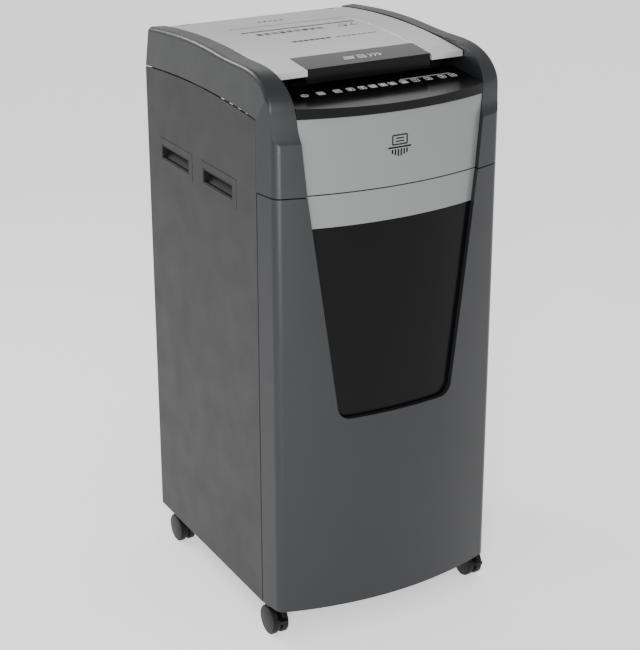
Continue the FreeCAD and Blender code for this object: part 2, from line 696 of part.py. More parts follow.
def nose_block(inset, low, high):
    """A block with the lip's own deeper bow, as wide as the space between the arms."""
    apex = value("front_seam - nose_apex") + inset
    half = value("shield_top_half")
    sagitta = value("nose_sagitta")
    rear = value("front_seam + panel_rear")
    side = apex + sagitta
    edges = [
        Part.Arc(Vector(-half, side, low), Vector(0, apex, low), Vector(half, side, low)).toShape(),
        Part.makeLine(Vector(half, side, low), Vector(half, rear, low)),
        Part.makeLine(Vector(half, rear, low), Vector(-half, rear, low)),
        Part.makeLine(Vector(-half, rear, low), Vector(-half, side, low)),
    ]
    return Part.Face(Part.Wire(edges)).extrude(Vector(0, 0, high - low))


def control_panel():
    """The glossy panel: a bowed lip and a top plate that rises to the rear."""
    wall = value("shell_wall")
    low, nose = value("nose_foot + fit_gap"), value("nose_top")
    front, rear = value("front_seam - nose_apex") - 2, value("front_seam + panel_rear")
    high = nose + value("panel_rise")
    outer = nose_block(0, low, high + 5)
    under_top = prism([(front, low - 1), (rear + 1, low - 1), (rear + 1, high), (front, nose)],
                      "X", -300, 600)
    inner = nose_block(wall, low - 1, high + 5).common(
        prism([(front, low - 2), (rear + 9, low - 2), (rear + 9, high - wall), (front, nose - wall)],
              "X", -300, 600))
    panel = outer.common(under_top).cut(inner)
    panel = panel.common(shield_block(value("fit_gap"), low - 5, high + 10, rounded=False))
    return node(feature("control_panel", panel), "control_panel")


# ---------------------------------------------------------------- lid

def lid_profile(top_inset):
    """The lid's top line as an arc edge through its front, middle and rear, as (y, z)."""
    front, rear = value("front_seam + lid_front"), value("front_seam + lid_rear")
    top = value("rail_top")
    return [(front, top - 15.5 - top_inset), ((front + rear) / 2, top - 1 - top_inset),
            (rear, top - 12 - top_inset)]


def lid_slab(half, top_inset, depth, front_trim=0.0, rear_trim=0.0):
    """A slab under the lid's arched top, from one inset down to a depth."""
    (y0, z0), (y1, z1), (y2, z2) = lid_profile(top_inset)
    arc = Part.Arc(Vector(-half, y0, z0), Vector(-half, y1, z1), Vector(-half, y2, z2)).toShape()
    arc_low = Part.Arc(Vector(-half, y0, z0 - depth), Vector(-half, y1, z1 - depth),
                       Vector(-half, y2, z2 - depth)).toShape()
    edges = [arc, Part.makeLine(Vector(-half, y2, z2), Vector(-half, y2, z2 - depth)), arc_low,
             Part.makeLine(Vector(-half, y0, z0 - depth), Vector(-half, y0, z0))]
    slab = Part.Face(Part.Wire(Part.__sortEdges__(edges))).extrude(Vector(2 * half, 0, 0))
    keep = Part.makeBox(2 * half, y2 - y0 - front_trim - rear_trim, 200,
                        Vector(-half, y0 + front_trim, z0 - 100))
    return slab.common(keep) if front_trim or rear_trim else slab


def lid_half_width():
    """Half width of the lid: the space between the rails less the seam, at the lid's height."""
    slope = (value("shield_top_half") - value("shield_seam_half")) / value("head_height")
    return value("shield_top_half") - slope * 26 - value("seam_gap") / 2


def across_box(half, front, rear, low, high):
    """A box centred on x, from depths measured behind the front seam."""
    seam = value("front_seam")
    return Part.makeBox(2 * half, rear - front, high - low, Vector(-half, seam + front, low))


def lid_shell():
    """The arched lid: plate, lip and skirts, with the handle opening, label recess and knuckles."""
    half, wall = lid_half_width(), value("lid_wall")
    lip, skirt = value("lid_lip"), value("shell_wall")
    top = value("rail_top")
    shell = lid_slab(half, 0, lip).cut(lid_slab(half - skirt, wall, lip, 2.5 * skirt, skirt + 6))
    handle = across_box(value("handle_half"), value("handle_front"), value("handle_rear"),
                        top - 60, top + 10)
    under = across_box(value("handle_half"), 0, value("handle_front") + 1, top - 60, top + 10)
    shell = shell.cut(handle.fuse(under))
    recess = lid_slab(value("handle_half"), -5, 5 + value("label_depth"))
    recess = recess.common(across_box(value("handle_half"), value("handle_rear"),
                                      value("label_rear"), top - 60, top + 10))
    shell = shell.cut(recess)
    axis_y, axis_z = value("lid_axis_y"), value("lid_axis_z")
    long, middle = value("knuckle_length"), value("lid_knuckle_x")
    for side in (-1, 1):
        knuckle = Part.makeCylinder(value("lid_knuckle"), long,
                                    Vector(side * middle - long / 2, axis_y, axis_z), Vector(1, 0, 0))
        beside = side * (middle + long + 1) - long / 2
        notch = Part.makeBox(long + 2, 40, 60, Vector(beside - 1, axis_y - 7, axis_z - 30))
        shell = shell.cut(notch).fuse(knuckle)
        bore = Part.makeCylinder(value("lid_pin_radius + run_gap"), long + 4,
                                 Vector(side * middle - long / 2 - 2, axis_y, axis_z), Vector(1, 0, 0))
        shell = shell.cut(bore)
        boss = Part.makeCylinder(value("stem_radius") + 3, 20,
                                 Vector(side * value("plate_half") * 0.7, stem_y(), top - 23.5))
        hole = Part.makeCylinder(value("stem_radius + run_gap"), 21,
                                 Vector(side * value("plate_half") * 0.7, stem_y(), top - 24))
        shell = shell.fuse(boss).cut(hole)
    keeper = Part.makeBox(4, 16, 16, Vector(half - skirt - 3, value("front_seam") + 60, top - 30))
    slot = Part.makeCylinder(value("bolt_radius") + 0.6, 20, Vector(half - 20, lock_y(), lock_z()),
                             Vector(1, 0, 0))
    shell = shell.fuse(keeper).cut(slot)
    return node(feature("lid_shell", shell.removeSplitter()), "lid_shell")


def stem_y():
    """Depth of the two guide stems of the pressure plate."""
    return value("front_seam + plate_y + plate_length / 2")


def lock_y():
    """Depth of the lid lock."""
    return value("front_seam + 68")


def lock_z():
    """Height of the lid lock."""
    return value("rail_top - 24")


def lid_handle():
    """The glossy grip: a plate flush in the lid's front with a skirt down to the throat."""
    half, gap, wall = value("handle_half"), value("fit_gap"), value("lid_wall")
    top = value("rail_top")
    plate = lid_slab(half - gap, 0, wall)
    plate = plate.common(across_box(half, value("handle_front"), value("handle_rear") - gap,
                                    top - 60, top + 10))
    skirt_foot = top - 15 - value("handle_skirt")
    skirt = across_box(half - gap, value("handle_front"), value("handle_front + shell_wall"),
                       skirt_foot, top - 16)
    return node(feature("lid_handle", plate.fuse(skirt).removeSplitter()), "lid_handle")


def pressure_plate():
    """The sprung plate under the lid that presses the stack, on two guide stems."""
    z = "rail_top - plate_drop - plate_wall"
    plate = box("plate_sheet", ("-plate_half", "front_seam + plate_y", z),
                ("2 * plate_half", "plate_length", "plate_wall"))
    stems = [rod(f"plate_stem_{word}",
                 (f"{sign} * plate_half * 0.7", "front_seam + plate_y + plate_length / 2", z), "Z",
                 "stem_radius", "plate_wall + plate_drop - 13") for word, sign in (("left", -1),
                                                                                   ("right", 1))]
    return node(fuse("pressure_plate", [plate] + stems), "pressure_plate")


def hinge_pins():
    """Lid pins across the rear knuckles, and the upright door pins."""
    lid_pins = []
    for word, x in (("left", "-(lid_knuckle_x + 1.5 * knuckle_length + 1)"),
                    ("right", "lid_knuckle_x - knuckle_length / 2")):
        lid_pins.append(rod(f"lid_pin_{word}", (x, "lid_axis_y", "lid_axis_z"), "X",
                            "lid_pin_radius", "2 * knuckle_length + 1"))
    node(group("lid_hinge_pins", lid_pins), "lid_hinge_pins")
    low = rod("door_pin_low", ("door_pin_x", "door_pin_y", "underside - bracket_wall"), "Z",
              "door_pin_radius", "door_pin_length")
    high = rod("door_pin_high",
               ("door_pin_x", "door_pin_y", "head_seam + seam_gap + bracket_wall - door_pin_length"),
               "Z", "door_pin_radius", "door_pin_length")
    node(group("door_hinge_pins", [low, high]), "door_hinge_pins")


# ---------------------------------------------------------------- door

def door_solid(low, high):
    """The door's outer shape without its recess, ending just short of the front seam."""
    block = bowed_block(0, low, high, value("front_seam") + 10)
    wide = value("cabinet_width")
    front = value("front_seam - front_bulge") - 10
    keep = Part.makeBox(2 * wide, value("front_seam - fit_gap") - front, high - low,
                        Vector(-wide, front, low))
    return block.common(keep)


def door_shell():
    """The bowed door: a skin with end plates, hinge bosses, a side pull and the recess frame."""
    wall, gap = value("shell_wall"), value("fit_gap")
    low, high = value("underside") + gap, value("head_seam - seam_gap / 2")
    seam = value("front_seam") - gap
    skin = door_solid(low, high)
    hollow = bowed_block(wall, low + wall, high - wall, seam + 20)
    deep = value("shield_depth + window_wall")
    behind = shield_block(-wall - 2, low - 1, high + 1)
    behind = behind.common(skin).cut(
        bowed_block(deep + wall, low - 1, high + 1, seam + 30))
    pull_low, pull_high = value("underside + door_pull_low"), value("underside + door_pull_high")
    pull_x = value("half_width - door_pull_depth")
    backing = Part.makeBox(60, value("front_bulge"), pull_high - pull_low + 2 * wall,
                           Vector(pull_x - wall, seam - value("front_bulge"), pull_low - wall))
    shell = skin.cut(hollow).fuse(behind).fuse(backing.common(skin))
    recess = shield_block(0, low - 5, high + 5).cut(
        bowed_block(deep, low - 10, high + 10, seam + 30, rounding=False))
    window = shield_block(value("window_frame"), low - 5, high - value("window_frame"))
    pull = Part.makeBox(60, value("front_bulge") + 10, pull_high - pull_low,
                        Vector(pull_x, seam - value("front_bulge") - 5, pull_low))
    shell = shell.cut(recess).cut(window).cut(pull)
    pin = Vector(value("door_pin_x"), value("door_pin_y"), low)
    boss_tall = value("door_pin_length")
    for start in (low, high - boss_tall):
        pin.z = start
        boss = Part.makeCylinder(value("door_pin_radius") + 2.5, boss_tall, pin)
        shell = shell.fuse(boss.common(skin))
    bore = Part.makeCylinder(value("door_pin_radius + run_gap"), high - low + 2,
                             Vector(pin.x, pin.y, low - 1))
    return node(feature("door_shell", shell.cut(bore).removeSplitter()), "door_shell")


def door_plates():
    """The smoked window and the bright strip above it, both on the door's bow."""
    near, far = value("shield_depth"), value("shield_depth + window_wall")
    high = value("head_seam - seam_gap / 2")
    split = high - value("trim_height")
    gap = value("fit_gap")
    low = value("underside + shield_foot") + gap
    node(feature("door_window", plate_on_bow(low, split - gap, near, far, gap)), "door_window")
    node(feature("door_trim", plate_on_bow(split, high, near, far, gap)), "door_trim")


def door_latch():
    """Magnetic catch with the interlock plunger in it, and the strike on the door."""
    x = "half_width - door_pull_depth - shell_wall - catch_width - 1"
    middle = "divider_top + catch_height / 2"
    body = box("catch_body", (x + " - 22", "front_seam + 1.5", "divider_top"),
               ("catch_width + 22", "catch_depth", "catch_height"))
    bore = rod("plunger_bore", (x + " - 12", "front_seam + 1.5", middle), "Y",
               "plunger_radius + run_gap", "catch_depth - 1")
    node(cut("door_catch", body, [bore]), "door_catch")
    tip = rod("plunger_rod", (x + " - 12", "front_seam - 0.7", middle), "Y", "plunger_radius",
              "catch_depth - plunger_travel")
    node(tip, "door_switch_plunger")
    strike = box("strike_plate", (x + " - 22", "front_seam - 1 - strike_wall", "divider_top"),
                 ("catch_width + 23", "strike_wall",
                  "head_seam - divider_top - seam_gap / 2 - shell_wall"))
    node(strike, "door_strike")


# ---------------------------------------------------------------- bin

def bin_tub():
    """The waste bin: an open tub with a hand slot in its front."""
    half = "half_width - bin_inset"
    foot = "underside + base_wall + 1"
    deep = "panel_depth - panel_wall - bin_rear_gap - bin_front"
    outer = box("bin_outer", (f"-({half})", "front_seam + bin_front", foot),
                (f"2 * ({half})", deep, "bin_height"))
    inner = box("bin_inner", (f"-({half}) + bin_wall", "front_seam + bin_front + bin_wall",
                              foot + " + bin_wall"),
                (f"2 * ({half} - bin_wall)", f"{deep} - 2 * bin_wall", "bin_height"))
    slot = box("bin_slot", ("-bin_grip_width / 2", "front_seam + bin_front",
                            f"{foot} + bin_height - 3 * bin_grip_height"),
               ("bin_grip_width", "bin_wall", "bin_grip_height"))
    return node(cut("bin_tub", outer, [inner, slot]), "bin_tub")


# ---------------------------------------------------------------- cutting unit

def gear_shape(teeth, module, wall, bore, start, phase=0.0):
    """A spur gear along +X: involute teeth of 25 degrees pressure angle with a stub addendum.

    The phase is in teeth: half a tooth puts a gap where a tooth would stand.
    """
    pressure = math.radians(25)
    pitch = teeth * module / 2
    base = pitch * math.cos(pressure)
    tip, root = pitch + 0.8 * module, pitch - 1.05 * module
    backlash = 0.09 * module
    half_pitch = math.pi / 2 / teeth - backlash / pitch

    def roll(radius):
        """How far the flank has turned at a radius, from the involute."""
        angle = math.acos(min(1.0, base / radius))
        return math.tan(angle) - angle

    at_pitch = roll(pitch)
    radii = [root, max(base, root + 0.01), (max(base, root) + tip) / 2, tip]
    ring = []
    for count in range(teeth):
        middle = 2 * math.pi * (count + phase) / teeth
        flank = [(radius, half_pitch + at_pitch - roll(max(radius, base))) for radius in radii]
        for radius, away in flank:
            ring.append((radius, middle - away))
        for radius, away in reversed(flank):
            ring.append((radius, middle + away))
    points = [Vector(start, r * math.cos(a), r * math.sin(a)) for r, a in ring]
    gear = Part.Face(Part.makePolygon(points + points[:1])).extrude(Vector(wall, 0, 0))
    return gear.cut(Part.makeCylinder(bore, wall, Vector(start, 0, 0), Vector(1, 0, 0)))


def placed(label, shape, y, z):
    """A sub-part made about its own axis and set down at (y, z)."""
    item = feature(label, shape)
    bind(item, at=("0", y, z))
    return node(item, label)


def cutter(label, y, shift, left_end):
    """A shaft with journals and toothed discs; shift moves the discs along it."""
    half, wall = value("chassis_half"), value("disc_wall")
    shaft = Part.makeCylinder(value("cutter_shaft"), 2 * half - 2, Vector(1 - half, 0, 0),
                              Vector(1, 0, 0))
    right_end = value("chassis_outside + gear_gap + gear_wall") - 0.5
    journal = Part.makeCylinder(value("journal_radius"), right_end - left_end,
                                Vector(left_end, 0, 0), Vector(1, 0, 0))
    pieces = [journal]
    points = []
    hooks = 8
    for count in range(hooks):
        angle = 2 * math.pi * count / hooks
        for radius, turn in ((value("disc_radius"), 0), (value("disc_radius") - 1, 0.5),
                             (value("disc_radius") - 4, 0.62)):
            points.append((radius, angle + turn))
    pitch = value("disc_pitch")
    number = int((2 * half - 16) // pitch)
    first = -(number - 1) * pitch / 2 - wall / 2 + shift
    for count in range(number):
        start = first + count * pitch
        ring = [Vector(start, r * math.cos(a), r * math.sin(a)) for r, a in points]
        pieces.append(Part.Face(Part.makePolygon(ring + ring[:1])).extrude(Vector(wall, 0, 0)))
    if left_end < -value("chassis_outside") - 1:
        pieces.append(Part.makeCylinder(value("pulley_radius"), value("pulley_wall"),
                                        Vector(left_end, 0, 0), Vector(1, 0, 0)))
    return placed(label, shaft.multiFuse(pieces), y, "cutter_z")


def cutting_unit():
    """Cutters, sync gears, compound gear, motor pinion and their stator parts."""
    front_y, rear_y = "front_seam + cutter_y", "front_seam + cutter_y + cutter_spacing"
    shift = value("disc_pitch") / 4
    left_short = -value("chassis_outside")
    left_long = -value("chamber_half + chamber_wall + 1 + pulley_wall")
    cutter("cutter_front", front_y, -shift, left_short)
    cutter("cutter_rear", rear_y, shift, left_long)
    start, wall = value("chassis_outside + gear_gap"), value("gear_wall")
    module, fine = value("gear_module"), value("fine_module")
    journal = value("journal_radius")
    placed("sync_gear_front", gear_shape(SYNC_TEETH, module, wall, journal, start), front_y,
           "cutter_z")
    placed("sync_gear_rear", gear_shape(SYNC_TEETH, module, wall, journal, start, 0.5), rear_y,
           "cutter_z")
    axle = value("axle_radius + run_gap")
    pinion = gear_shape(SMALL_TEETH, module, wall + value("gear_gap") / 2, axle, start, 0.5)
    wheel_start = value("wheel_plane - gear_gap / 2")
    wheel = gear_shape(LARGE_TEETH, fine, value("wheel_wall"), axle, wheel_start)
    compound = pinion.fuse(wheel)
    placed("compound_gear", compound, "front_seam + compound_y", "cutter_z")
    shaft_start = motor_face() - 16
    shaft = Part.makeCylinder(value("motor_shaft"), wheel_start + value("wheel_wall") - shaft_start,
                              Vector(shaft_start, 0, 0), Vector(1, 0, 0))
    driver_gear = gear_shape(DRIVER_TEETH, fine, value("wheel_wall"), value("motor_shaft") - 0.5,
                             wheel_start, 0.5)
    placed("motor_pinion", shaft.fuse(driver_gear), "front_seam + motor_y", "cutter_z")


def motor_face():
    """Where the motor ends, short of the right chassis plate."""
    return value("chassis_half") - 8


def motor_housing():
    """The motor can with its foot and the bore of its shaft."""
    can = rod("motor_can", ("chassis_half - 8 - motor_length", "front_seam + motor_y", "cutter_z"),
              "X", "motor_radius", "motor_length")
    foot = box("motor_foot", ("chassis_half - 8 - motor_length + 12",
                              "front_seam + motor_y - motor_radius * 0.7", "divider_top"),
               ("motor_length - 24", "motor_radius * 1.4", "cutter_rise - motor_radius * 0.6"))
    bore = rod("motor_bore", ("chassis_half - 8 - 18", "front_seam + motor_y", "cutter_z"), "X",
               "motor_shaft + run_gap", "18")
    return node(cut("motor_housing", fuse("motor_body", [can, foot]), [bore]), "motor_housing")


def chassis():
    """Two side plates with bearing seats, the compound gear's axle and three tie bars."""
    rear = "front_seam + cutter_y + cutter_spacing"
    for label, x in (("chassis_plate_left", "-chassis_outside"), ("chassis_plate_right", "chassis_half")):
        plate = box(label + "_sheet", (x, "front_seam + chassis_front", "divider_top"),
                    ("chassis_wall", "chassis_length", "chassis_height"))
        tools = [rod(f"{label}_seat_{count}", (x, y, "cutter_z"), "X", "bearing_radius",
                     "chassis_wall")
                 for count, y in enumerate(("front_seam + cutter_y", rear))]
        for count, (y, z) in enumerate(tie_places()):
            tools.append(rod(f"{label}_tie_{count}", (x, y, z), "X", "tie_radius", "chassis_wall"))
        base = plate
        if x == "chassis_half":
            tools.append(rod(label + "_motor_hole", (x, "front_seam + motor_y", "cutter_z"), "X",
                             "motor_shaft + 2", "chassis_wall"))
            axle = rod("compound_axle", (x, "front_seam + compound_y", "cutter_z"), "X",
                       "axle_radius", "wheel_plane + wheel_wall + 1 - chassis_half")
            base = fuse(label + "_body", [plate, axle])
        node(cut(label, base, tools), label)
    ties = [rod(f"tie_{count}", ("-chassis_outside", y, z), "X", "tie_radius", "2 * chassis_outside")
            for count, (y, z) in enumerate(tie_places())]
    node(group("chassis_tie_bars", ties), "chassis_tie_bars")
    bearings = []
    for word, x in (("left", "-chassis_outside"), ("right", "chassis_half")):
        for spot, y in (("front", "front_seam + cutter_y"), ("rear", rear)):
            ring = rod(f"bearing_{word}_{spot}", (x, y, "cutter_z"), "X", "bearing_radius",
                       "chassis_wall")
            bore = rod(f"bearing_bore_{word}_{spot}", (x, y, "cutter_z"), "X",
                       "journal_radius + run_gap", "chassis_wall")
            bearings.append(cut(f"bearing_ring_{word}_{spot}", ring, [bore]))
    node(group("cutter_bearings", bearings), "cutter_bearings")


def tie_places():
    """Tie bars low at the front, low at the rear and high behind the throat, as (y, z) formulas."""
    return [("front_seam + chassis_front + 8", "divider_top + 12"),
            ("front_seam + chassis_front + chassis_length - 12", "divider_top + 12"),
            ("front_seam + chassis_front + chassis_length - 12", "divider_top + chassis_height - 12")]


def stripper_combs():
    """Two bars whose fingers stand between the cutter discs."""
    half = value("chassis_half") - 0.5
    wall, pitch = value("finger_wall"), value("disc_pitch")
    number = int((2 * value("chassis_half") - 16) // pitch) + 1
    seam, z = value("front_seam"), value("cutter_z")
    shift = pitch / 4
    combs = []
    for direction, y, move in ((-1, value("cutter_y"), -shift),
                               (1, value("cutter_y + cutter_spacing"), shift)):
        near = y + direction * (value("cutter_shaft") + 1.5)
        far = y + direction * (value("disc_radius") + 3)
        bar_end = far + direction * 3
        lows = min(far, bar_end)
        bar = Part.makeBox(2 * half, 3, 16, Vector(-half, seam + lows, z - 8))
        first = -(number - 1) * pitch / 2 + move
        fingers = []
        for count in range(number):
            start = first + count * pitch - wall / 2
            if start < 1 - half or start + wall > half - 1:
                continue
            fingers.append(Part.makeBox(wall, abs(far - near), 8,
                                        Vector(start, seam + min(near, far), z - 4)))
        combs.append(bar.multiFuse(fingers).removeSplitter())
    return node(feature("stripper_combs", Part.makeCompound(combs)), "stripper_combs")


def gearbox_cover():
    """A tray-shaped cover over the gears, against the right chassis plate."""
    low_y, long = "front_seam + cutter_y - 30", "motor_y - cutter_y + 30 + 20"
    z = "divider_top + 4"
    tall = f"cutter_rise + fine_module * {LARGE_TEETH / 2 + 1} + 2"
    deep = "wheel_plane + wheel_wall + 2 - chassis_outside"
    outer = box("gear_cover_outer", ("chassis_outside", low_y, z), (f"{deep} + 2", long, tall))
    inner = box("gear_cover_inner", ("chassis_outside", f"{low_y} + 2", f"{z} + 2"),
                (deep, f"{long} - 4", f"{tall} - 4"))
    return node(cut("gearbox_cover", outer, [inner]), "gearbox_cover")


def pick_up():
    """The pick-up shaft, its rollers and pulley, and the belt from the rear cutter."""
    y, z = "front_seam + roller_y", "roller_z"
    pulley_x = "-(chamber_half + chamber_wall + 1 + pulley_wall)"
    shaft = rod("pick_up_rod", (pulley_x, y, z), "X", "roller_shaft",
                "2 * (chamber_half + chamber_wall) + 1 + pulley_wall + 1")
    pulley = rod("pick_up_pulley", (pulley_x, y, z), "X", "pulley_radius", "pulley_wall")
    node(fuse("pickup_shaft", [shaft, pulley]), "pickup_shaft")
    pickup_belt()
    rollers = []
    for word, step in (("left", -1), ("middle", 0), ("right", 1)):
        x = f"{step} * roller_pitch - roller_width / 2"
        tyre = rod(f"roller_{word}", (x, y, z), "X", "roller_radius", "roller_width")
        bore = rod(f"roller_bore_{word}", (x, y, z), "X", "roller_shaft", "roller_width")
        rollers.append(cut(f"roller_ring_{word}", tyre, [bore]))
    node(group("pickup_rollers", rollers), "pickup_rollers")


def loop_block(radius, start, wall, ends):
    """A flat loop's outline as a solid: two round ends and the straight part between them."""
    (y0, z0), (y1, z1) = ends
    long = math.hypot(y1 - y0, z1 - z0)
    away = (-(z1 - z0) / long * radius, (y1 - y0) / long * radius)
    corners = [(y0 + away[0], z0 + away[1]), (y1 + away[0], z1 + away[1]),
               (y1 - away[0], z1 - away[1]), (y0 - away[0], z0 - away[1])]
    ends_round = [Part.makeCylinder(radius, wall, Vector(start, y, z), Vector(1, 0, 0))
                  for y, z in ends]
    return prism(corners, "X", start, wall).multiFuse(ends_round).removeSplitter()


def pickup_belt():
    """The belt from the rear cutter's pulley up to the pick-up shaft's pulley."""
    ends = [(value("front_seam + cutter_y + cutter_spacing"), value("cutter_z")),
            (value("front_seam + roller_y"), value("roller_z"))]
    start = -value("chamber_half + chamber_wall + pulley_wall + 0.5")
    wall = value("pulley_wall") - 1
    inside = value("pulley_radius + belt_gap")
    belt = loop_block(inside + value("belt_wall"), start, wall, ends).cut(
        loop_block(inside, start, wall, ends))
    return node(feature("pickup_belt", belt), "pickup_belt")


# ---------------------------------------------------------------- feed path

def feed_chamber():
    """The tray that holds the stack, open above, with a chute over the pick-up rollers."""
    wall = "chamber_wall"
    outer = box("chamber_outer", ("-(chamber_half + chamber_wall)", "front_seam + chamber_front",
                                  "chamber_floor - chamber_wall"),
                ("2 * (chamber_half + chamber_wall)", "chamber_rear - chamber_front",
                 "chamber_height + chamber_wall"))
    inner = box("chamber_inner", ("-chamber_half", "front_seam + chamber_front + chamber_wall",
                                  "chamber_floor"),
                ("2 * chamber_half", "chamber_rear - chamber_front - 2 * chamber_wall",
                 "chamber_height"))
    lugs = [box(f"shaft_lug_{word}", (x, "front_seam + roller_y - 9", "roller_z - 9"),
                (wall, "18", "roller_drop + 12"))
            for word, x in (("left", "-(chamber_half + chamber_wall)"), ("right", "chamber_half"))]
    legs = [box(f"chamber_leg_{word}", (x, "front_seam + chamber_front + 4",
                                        "divider_top + chassis_height"),
                ("chassis_wall", "90",
                 "chamber_floor - chamber_wall - divider_top - chassis_height"))
            for word, x in (("left", "-chassis_outside"), ("right", "chassis_half"))]
    body = fuse("chamber_body", [cut("chamber_tub", outer, [inner])] + lugs + legs)
    chute = box("chamber_chute", ("-(chassis_half - 12)", "front_seam + roller_y - chute_length / 2",
                                  "chamber_floor - chamber_wall"),
                ("2 * (chassis_half - 12)", "chute_length", "chamber_wall"))
    bore = rod("shaft_bore", ("-(chamber_half + 2 * chamber_wall)", "front_seam + roller_y",
                              "roller_z"), "X", "roller_shaft + run_gap",
               "2 * chamber_half + 4 * chamber_wall")
    return node(cut("feed_chamber", body, [chute, bore]), "feed_chamber")


def throat_guide():
    """The manual feed throat: two plates and two ends that lead sheets to the cutters."""
    top = "nose_top + panel_rise"
    outer = box("throat_outer", ("-chassis_half", "front_seam + throat_front",
                                 f"{top} - throat_height"),
                ("2 * chassis_half", "throat_length", "throat_height"))
    inner = box("throat_inner", ("-(chassis_half - throat_wall)",
                                 "front_seam + throat_front + throat_wall",
                                 f"{top} - throat_height"),
                ("2 * (chassis_half - throat_wall)", "throat_length - 2 * throat_wall",
                 "throat_height"))
    return node(cut("throat_guide", outer, [inner]), "throat_guide")


def control_board():
    """The board under the control panel with its taller components."""
    z = "nose_foot - 4"
    board = box("board_sheet", ("-board_half", "front_seam - 30", z),
                ("2 * board_half", "60", "board_wall"))
    parts = [board]
    for count in range(4):
        parts.append(box(f"board_part_{count}",
                         (f"-board_half + 30 + {count} * board_half * 0.45", "front_seam - 10",
                          z + " + board_wall"), ("22", "16", "5")))
    return node(fuse("control_board", parts), "control_board")


# ---------------------------------------------------------------- small parts

def lid_lock():
    """The solenoid lock beside the throat and its bolt."""
    x = "shield_top_half - 46"
    body = box("lock_block", (x, "front_seam + 60", "rail_top - 33"), ("26", "16", "16"))
    foot = box("lock_foot", ("chassis_half", "front_seam + 60", "rail_top - 62"),
               (f"{x} + 26 - chassis_half", "4", "30"))
    bore = rod("lock_bore", (x + " + 6", "front_seam + 68", "rail_top - 24"), "X",
               "bolt_radius + run_gap", "20")
    node(cut("lid_lock", fuse("lock_body", [body, foot]), [bore]), "lid_lock")
    bolt = rod("lock_rod", (x + " + 8", "front_seam + 68", "rail_top - 24"), "X", "bolt_radius",
               "19")
    node(bolt, "lid_lock_bolt")


def rear_inlets():
    """The cord gland and the rocker switch in the rear panel."""
    ring = rod("gland_ring", ("gland_x", "rear_face - gland_length", "underside + gland_z"), "Y",
               "gland_radius", "gland_length")
    bore = rod("gland_bore_hole", ("gland_x", "rear_face - gland_length", "underside + gland_z"),
               "Y", "gland_bore", "gland_length")
    node(cut("cord_gland", ring, [bore]), "cord_gland")
    z = "underside + gland_z"
    body = box("switch_body", ("switch_x - rocker_width / 2 - 4",
                               "rear_face - panel_wall - switch_depth", f"{z} - rocker_height / 2 - 4"),
               ("rocker_width + 8", "switch_depth", "rocker_height + 8"))
    well = box("switch_well", ("switch_x - rocker_width / 2 - 0.6",
                               "rear_face - panel_wall - 8", f"{z} - rocker_height / 2 - 1"),
               ("rocker_width + 1.2", "8", "rocker_height + 2"))
    pin_at = ("switch_x - rocker_width / 2 - 2.6", "rear_face - rocker_depth / 2 - 3", z)
    seat = rod("rocker_seat", pin_at, "X", "rocker_pin + run_gap", "rocker_width + 5.2")
    node(cut("power_switch", body, [well, seat]), "power_switch")
    key = box("rocker_block", ("switch_x - rocker_width / 2", "rear_face - rocker_depth - 3",
                               f"{z} - rocker_height / 2"),
              ("rocker_width", "rocker_depth", "rocker_height"))
    pin = rod("rocker_rod", pin_at, "X", "rocker_pin", "rocker_width + 5.2")
    node(fuse("power_rocker", [key, pin]), "power_rocker")


# ---------------------------------------------------------------- casters

